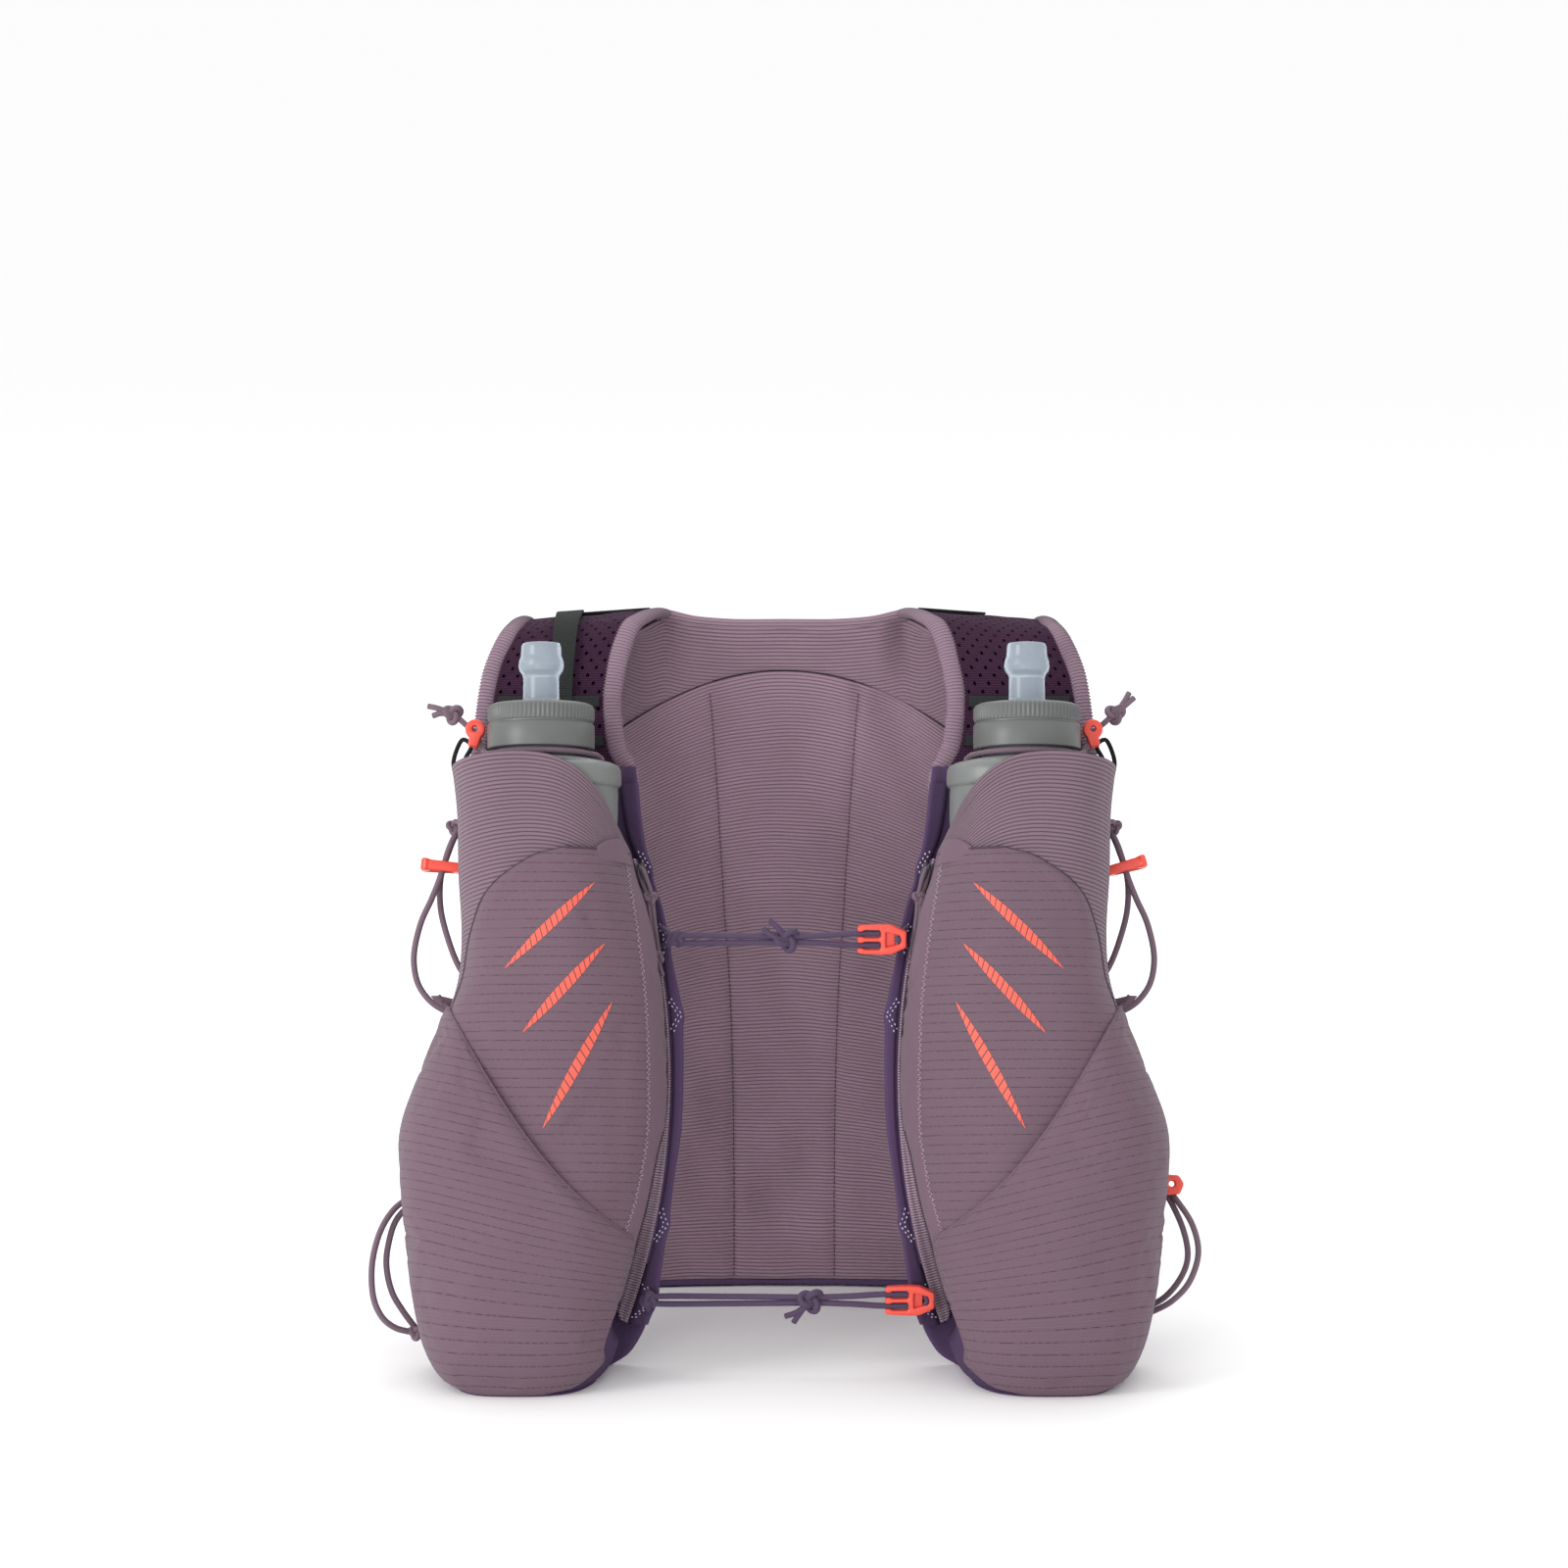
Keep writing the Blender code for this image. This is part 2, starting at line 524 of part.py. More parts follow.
def sternum_cord(name, anchor, hook_x):
    """A doubled elastic cord from the left placket to a hook that catches the right one."""
    pivot = empty(f"{name}_pivot", VEST, anchor)
    length = hook_x - anchor[0]
    half = 0.0024
    path = [(length + 0.010, 0, half), (length * 0.6, 0, half), (0.006, 0, half), (0.0015, 0, half * 0.6),
            (0.0003, 0, 0), (0.0015, 0, -half * 0.6), (0.006, 0, -half), (length * 0.6, 0, -half),
            (length + 0.010, 0, -half)]
    cord(f"{name}_cord", "purple", path, 0.0015, pivot)
    outline = [(0.0, -0.0062), (0.012, -0.0068), (0.0165, -0.0066), (0.0232, -0.0036), (0.0232, 0.0036),
               (0.0165, 0.0066), (0.012, 0.0068), (0.0, 0.0062)]
    window = [(0.0140, -0.0032), (0.0200, -0.0018), (0.0200, 0.0018), (0.0140, 0.0032)]
    rim = outline[:7] + [(0.0, 0.0062), (0.0, 0.0042), (0.0112, 0.0042), (0.0112, 0.0006), (0.0, 0.0006),
                         (0.0, -0.0006), (0.0112, -0.0006), (0.0112, -0.0042), (0.0, -0.0042)]
    plate(f"{name}_hook", "coral", [rim, window], 0.0038, pivot, (length, 0, 0), (math.radians(90), 0, 0))


# ---------------------------------------------------------------- back

def back_y(x):
    """Front face of the back, which wraps a little round the wearer."""
    return BACK_Y - BACK_CURVE * x * x


def seam_z(x):
    """The arched seam between the back panel and the padded yoke."""
    return max(0.272, 0.313 - 4.33 * x * x)


def back_panel():
    def place(a, b, c):
        x = a * BACK_HALF
        z = mix(0.0126, seam_z(x) - GAP, (c + 1) / 2)
        return Vector((x, back_y(x) + (BACK_THICK if b > 0 else 0), z))

    bent_box("back_panel", "mauve", (20, 1, 8), place)

    def hem(a, b, c):
        x = a * BACK_HALF
        return Vector((x, back_y(x) + (BACK_THICK if b > 0 else -0.0008), mix(0.0004, 0.0120, (c + 1) / 2)))

    bent_box("hem_band", "purple", (20, 1, 1), hem)


def yoke():
    """The padded collar: a wall behind the neck that folds forward into a shelf under each strap."""
    def line(x, v):
        base = back_y(x)
        middle = (base, mix(seam_z(x), 0.3385 + 1.15 * x * x, v))
        shelf = (
            along(((0, base), (0.45, base), (0.78, 0.089), (1.0, 0.0765)), v),
            along(((0, seam_z(x)), (0.45, 0.316), (0.78, 0.3335), (1.0, 0.3370)), v),
        )
        share = smooth_step(0.045, 0.072, abs(x))
        return Vector((mix(middle[0], shelf[0], share), mix(middle[1], shelf[1], share)))

    def place(a, b, c):
        x, v = a * BACK_HALF, (c + 1) / 2
        here = line(x, v)
        run = (line(x, min(1, v + 0.02)) - line(x, max(0, v - 0.02))).normalized()
        out = BACK_THICK - 0.001 if b > 0 else 0.0
        return Vector((x, here.x + run.y * out, here.y - run.x * out))

    bent_box("yoke", "mauve", (20, 1, 8), place)
    points = []
    for i in range(13):
        x = mix(-0.0520, 0.0520, i / 12)
        end = line(x, 1.0)
        points.append((x, end.x + 0.002, end.y + BINDING_R + 0.0020))
    cord("collar_binding", "mauve", points, BINDING_R)


def bag_out(x, z):
    """y of the bag's outer face."""
    across = (1 - min(1, abs(x / BAG_HALF)) ** 4) ** (1 / 3)
    middle = 0.15
    if z > middle:
        up = (1 - min(1, (z - middle) / (BAG_TOP - middle)) ** 4) ** (1 / 3)
    else:
        up = mix(0.72, 1.0, smooth_step(0.0, 0.10, z))
    return back_y(x) + BACK_THICK + 0.0026 + BAG_DEPTH * across * up


def bag():
    def body(a, b, c):
        x, z = a * BAG_HALF, mix(0.0, BAG_TOP, (c + 1) / 2)
        return Vector((x, bag_out(x, z) if b > 0 else back_y(x) + BACK_THICK + GAP, z))

    bent_box("main_bag", "mauve", (12, 1, 12), body)

    def stash(a, b, c):
        x = a * (BAG_HALF - 0.024)
        z = mix(0.012, 0.165 + 0.8 * x * x, (c + 1) / 2)
        return Vector((x, bag_out(x, z) + (0.0048 if b > 0 else 0.0020), z))

    bent_box("stash_pocket", "mauve", (12, 1, 8), stash)
    plane = max(bag_out(BAG_ZIP_RADIUS * math.sin(a), BAG_ZIP_Z + BAG_ZIP_RADIUS * math.cos(a))
                for a in [math.radians(k) for k in range(0, 76, 5)]) + 0.0022
    arc = [math.radians(mix(-75, 75, i / 20)) for i in range(21)]
    ring = [(BAG_ZIP_RADIUS * math.sin(a), plane, BAG_ZIP_Z + BAG_ZIP_RADIUS * math.cos(a)) for a in arc]
    cord("bag_zip_coil", "purple", ring, 0.0018)
    hub = empty("bag_zip_hub", VEST, (0, plane, BAG_ZIP_Z))
    start = math.radians(-62)
    outline = [(-0.0035, -0.0060), (0.0035, -0.0060), (0.0042, 0.0), (0.0030, 0.0060), (-0.0030, 0.0060),
               (-0.0042, 0.0)]
    place = (BAG_ZIP_RADIUS * math.sin(start), 0.0052, BAG_ZIP_RADIUS * math.cos(start))
    plate("bag_zip_slider", "charcoal", [outline], 0.0056, hub, place,
          (math.radians(90), start + math.radians(90), 0))
    drop = [(0.0, 0.0050, 0.0), (0.0, 0.0052, -0.010), (0.0, 0.0050, -0.020), (0.0, 0.0048, -0.030)]
    cord("bag_zip_pull", "coral", [Vector(place) + Vector(p) for p in drop], 0.0016, hub, {2: 1.6, 3: 1.2})


def side_wing(name, side):
    """The short mesh wing that the side cords pull towards the front panel."""
    def place(a, b, c):
        u = (a + 1) / 2
        turn = mix(0.12, 1.0, u) * math.pi / 2
        out = Vector((0.030 * math.sin(turn), 0.020 * math.cos(turn))).normalized() * (0.0022 if b > 0 else 0)
        x = 0.1300 + 0.020 * math.sin(turn) + out.x
        y = back_y(BACK_HALF) + 0.002 - 0.030 * (1 - math.cos(turn)) + out.y
        return Vector((side * x, y, mix(mix(0.045, 0.070, u), mix(0.215, 0.190, u), (c + 1) / 2)))

    bent_box(f"{name}_side_wing", "mesh", (4, 1, 6), place)


clear_scene()
PARTS = collection("hydration_vest")
CUTTERS = collection("cutters")
VEST = empty("vest", None, (0, -MIDDLE_Y, 0))
for side_name, sign in SIDES.items():
    front(side_name, sign)
    side_wing(side_name, sign)
sternum_cord("upper_sternum", (-0.0530, -0.0300, 0.2030), 0.0350)
sternum_cord("lower_sternum", (-0.0660, -0.0660, 0.0352), 0.0482)
back_panel()
yoke()
bag()
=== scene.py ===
"""Looks of the running hydration vest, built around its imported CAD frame.

The row frame: +Z up, -Y towards the viewer, "left" is -X. A front panel leans back on its strap, and its
pieces are placed in its own coordinates: t from the flask's axis towards the vest's middle, y towards
the wearer and z up along the panel.
"""

import json
import math

import bmesh
import bpy
import numpy as np
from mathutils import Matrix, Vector
from mathutils.bvhtree import BVHTree

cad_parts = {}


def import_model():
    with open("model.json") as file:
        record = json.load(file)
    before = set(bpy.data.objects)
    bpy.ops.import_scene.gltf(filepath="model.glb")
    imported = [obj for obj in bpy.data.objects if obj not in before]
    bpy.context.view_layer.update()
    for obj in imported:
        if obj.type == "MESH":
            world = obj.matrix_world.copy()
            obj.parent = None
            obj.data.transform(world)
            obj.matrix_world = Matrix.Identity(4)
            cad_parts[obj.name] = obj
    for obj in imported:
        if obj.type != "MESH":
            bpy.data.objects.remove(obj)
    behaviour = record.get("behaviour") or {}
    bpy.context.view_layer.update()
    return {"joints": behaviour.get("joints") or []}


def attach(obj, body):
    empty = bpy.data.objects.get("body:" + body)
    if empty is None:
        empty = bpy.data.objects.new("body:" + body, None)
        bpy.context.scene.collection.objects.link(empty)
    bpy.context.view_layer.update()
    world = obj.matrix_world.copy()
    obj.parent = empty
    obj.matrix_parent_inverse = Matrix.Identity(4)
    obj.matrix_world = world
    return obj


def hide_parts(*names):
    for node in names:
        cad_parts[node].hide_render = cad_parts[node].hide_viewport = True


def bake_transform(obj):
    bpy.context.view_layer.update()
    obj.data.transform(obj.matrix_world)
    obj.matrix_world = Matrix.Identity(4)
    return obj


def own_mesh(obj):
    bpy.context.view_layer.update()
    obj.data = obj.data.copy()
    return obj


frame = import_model()
JOINTS = {joint["name"]: joint for joint in frame["joints"]}
SIDES = {"left": -1, "right": 1}

# A front panel's own frame, from the joints of the flask and its cap.
UP = Vector(JOINTS["left_flask_lift"]["axis"])
CAP_PIVOT_HEIGHT, FLASK_DEPTH, FLASK_SQUASH = 0.2, -0.012, 0.78
PIVOT = Vector(JOINTS["right_cap_turn"]["pos_m"])
FLASK_X = PIVOT.x
FOOT_Y = PIVOT.y - CAP_PIVOT_HEIGHT * UP.y - FLASK_DEPTH * UP.z
ZIP_RADIUS = 0.336
ZIP_T, ZIP_Z = -0.274, 0.143  # centre of the zip's arc
MIDDLE_Y = 0.0307  # the back's own y, as its formulas use it, less the row's

# Outlines of a front panel as (z, t), and its depth as (z, y).
OUTER = (
    (0.000, -0.0420), (0.004, -0.0480), (0.011, -0.0525), (0.022, -0.0558), (0.040, -0.0595),
    (0.062, -0.0628), (0.105, -0.0665), (0.120, -0.0655), (0.145, -0.0565), (0.166, -0.0478),
    (0.190, -0.0400), (0.213, -0.0385), (0.240, -0.0400), (0.270, -0.0408), (0.296, -0.0438),
)
INNER = (
    (0.000, 0.0285), (0.004, 0.0330), (0.012, 0.0365), (0.024, 0.0388), (0.030, 0.0405), (0.041, 0.0450),
    (0.064, 0.0505), (0.0965, 0.0560), (0.150, 0.0590), (0.190, 0.0558), (0.209, 0.0525),
    (0.246, 0.0440), (0.258, 0.0410), (0.296, 0.0395),
)
DEPTH = (
    (0.000, 0.0440), (0.004, 0.0470), (0.012, 0.0510), (0.030, 0.0555), (0.060, 0.0590), (0.100, 0.0612),
    (0.200, 0.0640), (0.255, 0.0665), (0.296, 0.0650),
)
PANEL_OUTER = (
    (0.000, -0.0420), (0.004, -0.0484), (0.011, -0.0530), (0.022, -0.0563), (0.040, -0.0600),
    (0.062, -0.0633), (0.105, -0.067), (0.120, -0.066), (0.145, -0.057), (0.178, -0.043),
    (0.192, -0.0400), (0.213, -0.0385), (0.240, -0.0400), (0.294, -0.0430),
)
PANEL_INNER = (
    (0.000, 0.0335), (0.005, 0.0402), (0.010, 0.0440), (0.020, 0.0488), (0.028, 0.0512), (0.034, 0.0535),
    (0.042, 0.0555), (0.076, 0.0605), (0.100, 0.0637), (0.120, 0.0665), (0.153, 0.0674), (0.177, 0.0664),
    (0.197, 0.0626), (0.226, 0.0570), (0.238, 0.0530), (0.262, 0.0479), (0.294, 0.0445),
)
ZIP_POCKET_OUTER = (
    (0.1500, -0.0500), (0.166, -0.0455), (0.180, -0.0400), (0.190, -0.0362), (0.205, -0.0337),
    (0.216, -0.0305), (0.227, -0.0258), (0.235, -0.0186), (0.241, -0.0103), (0.2465, 0.0000),
    (0.2495, 0.0120),
)
# The flask pocket's mouth: height against the share of the way across, from -1 to 1.
MOUTH = (
    (-1.0, 0.2915), (-0.71, 0.2937), (-0.40, 0.2951), (-0.05, 0.2951), (0.28, 0.2923),
    (0.57, 0.2843), (0.78, 0.2731), (0.93, 0.2601), (1.0, 0.2530),
)
ZIP_TURN = 0.245  # above this height the placket leaves the zip's arc
PLACKET_OUTER = ((ZIP_TURN, 0.0471), (0.262, 0.0405), (0.286, 0.0367))
LOW_RIGHT = (  # where the low pocket's face ends beside the zip
    (0.000, 0.0000), (0.0015, 0.0132), (0.0054, 0.0229), (0.0112, 0.0302), (0.0181, 0.0307), (0.0266, 0.0336),
    (0.0380, 0.0383), (0.0479, 0.0413), (0.0567, 0.0437), (0.0652, 0.0452),
)
COIL_WIDTH = (
    (0.020, 0.0068), (0.040, 0.0068), (0.065, 0.0072), (0.080, 0.0062), (0.106, 0.0047), (0.120, 0.0026),
    (0.140, 0.0018), (0.260, 0.0018),
)
DIAGONAL_OUTER, DIAGONAL_INNER, DIAGONAL_SAG = 0.176, 0.064, 0.0155
ZIP_LOW, ZIP_HIGH, SLIDER_Z = 0.027, 0.249, 0.241

STRAP_LINE = (
    (0.0205, 0.2523), (0.0286, 0.2812), (0.0360, 0.3040), (0.0460, 0.3230), (0.0580, 0.3365),
    (0.0720, 0.3395), (0.0880, 0.3390), (0.1020, 0.3365), (0.1100, 0.3290), (0.1125, 0.3130),
)
STRAP_INNER = (
    (0.00, 0.0715), (0.10, 0.0752), (0.165, 0.0808), (0.22, 0.0825), (0.31, 0.0835), (0.44, 0.0806),
    (0.57, 0.0758), (0.70, 0.0695), (0.857, 0.0640), (1.0, 0.0600), (1.29, 0.0600),
)
STRAP_OUTER = (
    (0.00, 0.1490), (0.10, 0.1485), (0.22, 0.1460), (0.40, 0.1419), (0.62, 0.1325), (1.0, 0.1270),
    (1.29, 0.1250),
)
STRAP_LENGTH, STRAP_END = 0.142, 9 / 7  # the length of one unit of v, and v at the back end
COLLAR = (
    (0.000, 0.3350), (0.022, 0.3350), (0.033, 0.3356), (0.043, 0.3366), (0.0535, 0.3380), (0.0600, 0.3388),
    (0.066, 0.3392),
)
COIL_RIB = 0.00128
BARTACKS = (0.2454, 0.2114, 0.1737, 0.0735, 0.0375)  # heights of the placket's white tacks

BACK_Y, BACK_CURVE, BACK_THICK, BACK_HALF = 0.096, 0.95, 0.005, 0.130
BAG_HALF, BAG_TOP, BAG_DEPTH = 0.122, 0.316, 0.058
BAG_ZIP_RADIUS, BAG_ZIP_Z = 0.083, 0.196
# |x| of the two stitched channels down the back, against z.
BACK_SEAMS = ((0.0, 0.0252), (0.07, 0.0252), (0.143, 0.0266), (0.19, 0.0294), (0.27, 0.0342), (0.32, 0.038))

# Radii of the elastic cords.
THIN_CORD, PULL_CORD, LOOP_CORD = 0.0011, 0.00105, 0.0012
NECK_CORD, STERNUM_CORD, SIDE_CORD = 0.0014, 0.00145, 0.0015
PANEL_BACK = 0.0022  # from a front panel's face to the seam its pockets are sewn to

# Fabrics.
PIN_PITCH, RIB_PITCH, BACK_RIB = 0.0044, 0.0019, 0.00183
THREAD_LINE = (  # the zigzag stitches beside the zip: (z, t)
    (0.0620, 0.0385), (0.0770, 0.0438), (0.0955, 0.0483), (0.1186, 0.0515), (0.1602, 0.0514),
    (0.1880, 0.0495), (0.2159, 0.0458), (0.2438, 0.0411), (0.2500, 0.0400),
)


# ---------------------------------------------------------------- numbers

def along(points, at):
    """Values at `at` (an array) on a smooth curve through (position, value) pairs."""
    xs, ys = (np.array(column, float) for column in zip(*points))
    slopes = np.concatenate([[(ys[1] - ys[0]) / (xs[1] - xs[0])], (ys[2:] - ys[:-2]) / (xs[2:] - xs[:-2]),
                             [(ys[-1] - ys[-2]) / (xs[-1] - xs[-2])]])
    at = np.clip(at, xs[0], xs[-1])
    i = np.clip(np.searchsorted(xs, at, side="right") - 1, 0, len(xs) - 2)
    span = xs[i + 1] - xs[i]
    u = (at - xs[i]) / span
    return (
        ys[i] * (1 + 2 * u) * (1 - u) ** 2 + ys[i + 1] * u * u * (3 - 2 * u)
        + span * (slopes[i] * u * (1 - u) ** 2 - slopes[i + 1] * u * u * (1 - u))
    )


def step(low, high, at):
    u = np.clip((at - low) / (high - low), 0, 1)
    return u * u * (3 - 2 * u)


def mix(a, b, share):
    return a + (b - a) * share


def stack(*columns):
    return np.stack(np.broadcast_arrays(*columns), axis=-1)


def ripple(seed, a, b, size, stretch=1.0):
    """Soft noise from -1 to 1: a sum of waves in seeded directions. stretch lengthens it along a."""
    count = 9
    rng = np.random.default_rng(seed)
    turns, scales = rng.uniform(0, math.pi, count), rng.uniform(0.6, 1.7, count)
    phases = rng.uniform(0, 2 * math.pi, count)
    total = np.zeros(np.broadcast(a, b).shape)
    for turn, scale, phase in zip(turns, scales, phases):
        run = a / stretch * math.cos(turn) + b * math.sin(turn)
        total += np.sin(run * 2 * math.pi / (size * scale) + phase)
    return total / count ** 0.5 / 1.5


def unit(rows):
    return rows / np.maximum(np.linalg.norm(rows, axis=-1, keepdims=True), 1e-12)


# ---------------------------------------------------------------- surfaces of the front panel

def panel_face(t):
    return 0.0215 - 0.011 * step(0.035, 0.066, t)


def ladder_bumps(z):
    """Small bumps of the placket's edge where the sternum cords can hook."""
    return 0.0010 * sum(np.exp(-((z - middle) / 0.0045) ** 2) for middle in BARTACKS)


def zip_t(z):
    return ZIP_T + np.sqrt(ZIP_RADIUS ** 2 - (z - ZIP_Z) ** 2)


def bulge(s):
    s = np.clip(s, -1, 1)
    return np.where(s < 0, (1 - np.abs(s) ** 4) ** (1 / 3), (1 - np.abs(s) ** 2.5) ** (1 / 2.6))


def dome(t, z, offset):
    """y of the padded front, offset towards the viewer."""
    low, high = along(OUTER, z), along(INNER, z)
    return panel_face(t) - 0.002 - along(DEPTH, z) * bulge(2 * (t - low) / (high - low) - 1) - offset


def world(side, t, y, z, floor=False):
    """Row-frame points from a panel's coordinates; floor keeps a leaning foot flat on the ground."""
    t, y, z = np.broadcast_arrays(np.asarray(t, float), np.asarray(y, float), np.asarray(z, float))
    if floor:
        z = z + 0.0006 + y * (UP.y / UP.z) * np.clip(1 - z / 0.040, 0, 1)
    return stack(side * (FLASK_X - t), FOOT_Y + y * UP.z + z * UP.y, z * UP.z - y * UP.y)


def back_y(x):
    return BACK_Y - MIDDLE_Y - BACK_CURVE * x * x


def seam_z(x):
    return np.maximum(0.272, 0.313 - 4.33 * x * x)


# ---------------------------------------------------------------- meshes

def finish_mesh(obj, body, skin, replaced=()):
    """Gives a piece its skin and slot, its body (None: it is left unattached) and hides the nodes it stands
    for.
    """
    obj.data.materials.clear()
    obj.data.materials.append(SKINS[skin])
    if body:
        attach(obj, body)
    if replaced:
        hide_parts(*replaced)
    return obj


def new_object(name, data):
    obj = bpy.data.objects.new(name, data)
    bpy.context.scene.collection.objects.link(obj)
    return obj


def mesh_from(name, points, faces, uvs=None):
    mesh = bpy.data.meshes.new(name)
    mesh.from_pydata([tuple(p) for p in points], [], faces)
    if uvs is not None:
        layer = mesh.uv_layers.new(name="fabric")
        loops = np.zeros(len(mesh.loops), int)
        mesh.loops.foreach_get("vertex_index", loops)
        layer.data.foreach_set("uv", np.asarray(uvs, np.float32)[loops].ravel())
    mesh.shade_smooth()
    return mesh


def keep_off_floor(obj):
    for vert in obj.data.vertices:
        vert.co.z = max(vert.co.z, 0.0003)


def grid_faces(rows, columns, flip=False, wrap=False):
    faces = []
    for i in range(rows - 1):
        for j in range(columns - (0 if wrap else 1)):
            k = (j + 1) % columns
            quad = (i * columns + j, i * columns + k, (i + 1) * columns + k, (i + 1) * columns + j)
            faces.append(quad[::-1] if flip else quad)
    return faces


def sheet(name, points, uv, thick, flip=False):
    """A thick sheet from a grid of front-face points; the thickness goes behind it."""
    rows, columns = points.shape[:2]
    du, dv = np.gradient(points, axis=1), np.gradient(points, axis=0)
    normal = unit(np.cross(du, dv)) * (-1 if flip else 1)
    front, rear = points.reshape(-1, 3), (points - normal * thick).reshape(-1, 3)
    count = rows * columns
    faces = grid_faces(rows, columns, flip)
    faces += [tuple(count + v for v in face[::-1]) for face in grid_faces(rows, columns, flip)]
    ring = (
        [j for j in range(columns)] + [i * columns + columns - 1 for i in range(1, rows)]
        + [(rows - 1) * columns + j for j in range(columns - 2, -1, -1)]
        + [i * columns for i in range(rows - 2, 0, -1)]
    )
    for a, b in zip(ring, ring[1:] + ring[:1]):
        quad = (b, a, count + a, count + b)
        faces.append(quad[::-1] if flip else quad)
    both = np.concatenate([uv.reshape(-1, 2)] * 2)
    obj = new_object(name, mesh_from(name, np.concatenate([front, rear]), faces, both))
    obj.data.set_sharp_from_angle(angle=math.radians(60))
    return obj


def smooth_path(points, per=8):
    """A Catmull-Rom curve through the points."""
    p = np.asarray(points, float)
    p = np.concatenate([2 * p[:1] - p[1:2], p, 2 * p[-1:] - p[-2:-1]])
    u = np.linspace(0, 1, per, endpoint=False)[:, None]
    parts = [
        0.5 * (2 * b + (c - a) * u + (2 * a - 5 * b + 4 * c - d) * u ** 2 + (3 * b - a - 3 * c + d) * u ** 3)
        for a, b, c, d in zip(p, p[1:], p[2:], p[3:])
    ]
    return np.concatenate(parts + [p[-2:-1]])


def even_path(points, spacing):
    """The same line with points an even distance apart."""
    lengths = np.concatenate([[0], np.cumsum(np.linalg.norm(np.diff(points, axis=0), axis=1))])
    count = max(2, int(lengths[-1] / spacing) + 1)
    at = np.linspace(0, lengths[-1], count)
    return np.stack([np.interp(at, lengths, points[:, k]) for k in range(3)], axis=1)


def path_frames(path, hint=None):
    """Tangents and two cross directions: carried along the path without twist, or kept near a hint."""
    tangent = unit(np.gradient(path, axis=0))
    cross = np.zeros_like(path)
    previous = np.array([0.3, 0.2, 1.0])
    for i, along_it in enumerate(tangent):
        if hint is not None:
            previous = np.asarray(hint, float)
        previous = previous - along_it * previous.dot(along_it)
        previous = previous / max(np.linalg.norm(previous), 1e-9)
        cross[i] = previous
    return tangent, cross, np.cross(tangent, cross)


def tube_parts(path, radius, sides=10, flat=1.0, hint=None):
    """Points, faces and fabric coordinates of a closed tube. radius may vary along it."""
    tangent, a, b = path_frames(path, hint)
    angle = np.linspace(0, 2 * math.pi, sides, endpoint=False)
    radius = np.broadcast_to(radius, (len(path),))[:, None, None]
    ring = a[:, None] * np.cos(angle)[None, :, None] * flat + b[:, None] * np.sin(angle)[None, :, None]
    points = (path[:, None] + ring * radius).reshape(-1, 3)
    length = np.concatenate([[0], np.cumsum(np.linalg.norm(np.diff(path, axis=0), axis=1))])
    uv = stack(np.broadcast_to(angle / (2 * math.pi), (len(path), sides)), length[:, None]).reshape(-1, 2)
    faces = grid_faces(len(path), sides, wrap=True)
    start, end = len(points), len(points) + 1
    points = np.concatenate([points, path[:1] - tangent[:1] * radius[0, 0] * 0.35,
                             path[-1:] + tangent[-1:] * radius[-1, 0] * 0.35])
    uv = np.concatenate([uv, [[0, 0], [0, length[-1]]]])
    last = (len(path) - 1) * sides
    for j in range(sides):
        k = (j + 1) % sides
        faces.append((start, k, j))
        faces.append((end, last + j, last + k))
    return points, faces, uv


def joined(name, parts):
    """One mesh object from several (points, faces, uv) parts."""
    points, faces, uvs, base = [], [], [], 0
    for part_points, part_faces, part_uv in parts:
        points.append(part_points)
        uvs.append(part_uv)
        faces += [tuple(v + base for v in face) for face in part_faces]
        base += len(part_points)
    obj = new_object(name, mesh_from(name, np.concatenate(points), faces, np.concatenate(uvs)))
    bm = bmesh.new()
    bm.from_mesh(obj.data)
    bmesh.ops.recalc_face_normals(bm, faces=bm.faces)
    bm.to_mesh(obj.data)
    bm.free()
    obj.data.set_sharp_from_angle(angle=math.radians(50))
    return obj


def cord_part(points, radius, per=8, sides=10, spacing=0.0009):
    return tube_parts(even_path(smooth_path(points, per), spacing), radius, sides)


def panel_cord(side, points, radius, sides=10):
    """A cord through (t, y, z) points of a front panel."""
    return cord_part([world(side, *point) for point in points], radius, 8, sides)


def knot_points(centre, size, across, up):
    """A tight overhand knot: a trefoil lying in the plane of across and up."""
    across, up = unit(np.asarray(across, float)), unit(np.asarray(up, float))
    out = np.cross(across, up)
    angle = np.linspace(0, 2 * math.pi, 40, endpoint=False)
    x, y = np.sin(angle) + 2 * np.sin(2 * angle), np.cos(angle) - 2 * np.cos(2 * angle)
    depth = -np.sin(3 * angle)
    ring = x[:, None] * across + y[:, None] * up + depth[:, None] * out * 0.9
    return np.asarray(centre) + size / 3 * ring


def knot_part(centre, size, across, up, radius):
    ring = knot_points(centre, size, across, up)
    return tube_parts(np.concatenate([ring, ring[:1]]), radius, 10)


def stitch_parts(path, normals, length, gap, radius, lift=0.00012):
    """Short threads lying along a path."""
    distance = np.concatenate([[0], np.cumsum(np.linalg.norm(np.diff(path, axis=0), axis=1))])
    parts, at = [], 0.0
    while at + length < distance[-1]:
        u = at + length * np.array([0.0, 0.2, 0.5, 0.8, 1.0])
        line = np.stack([np.interp(u, distance, path[:, k]) for k in range(3)], axis=1)
        out = unit(np.stack([np.interp(u, distance, normals[:, k]) for k in range(3)], axis=1))
        line = line + out * (lift + radius * np.array([-0.6, 0.5, 1.0, 0.5, -0.6]))[:, None]
        parts.append(tube_parts(line, radius, 5))
        at += length + gap
    return parts


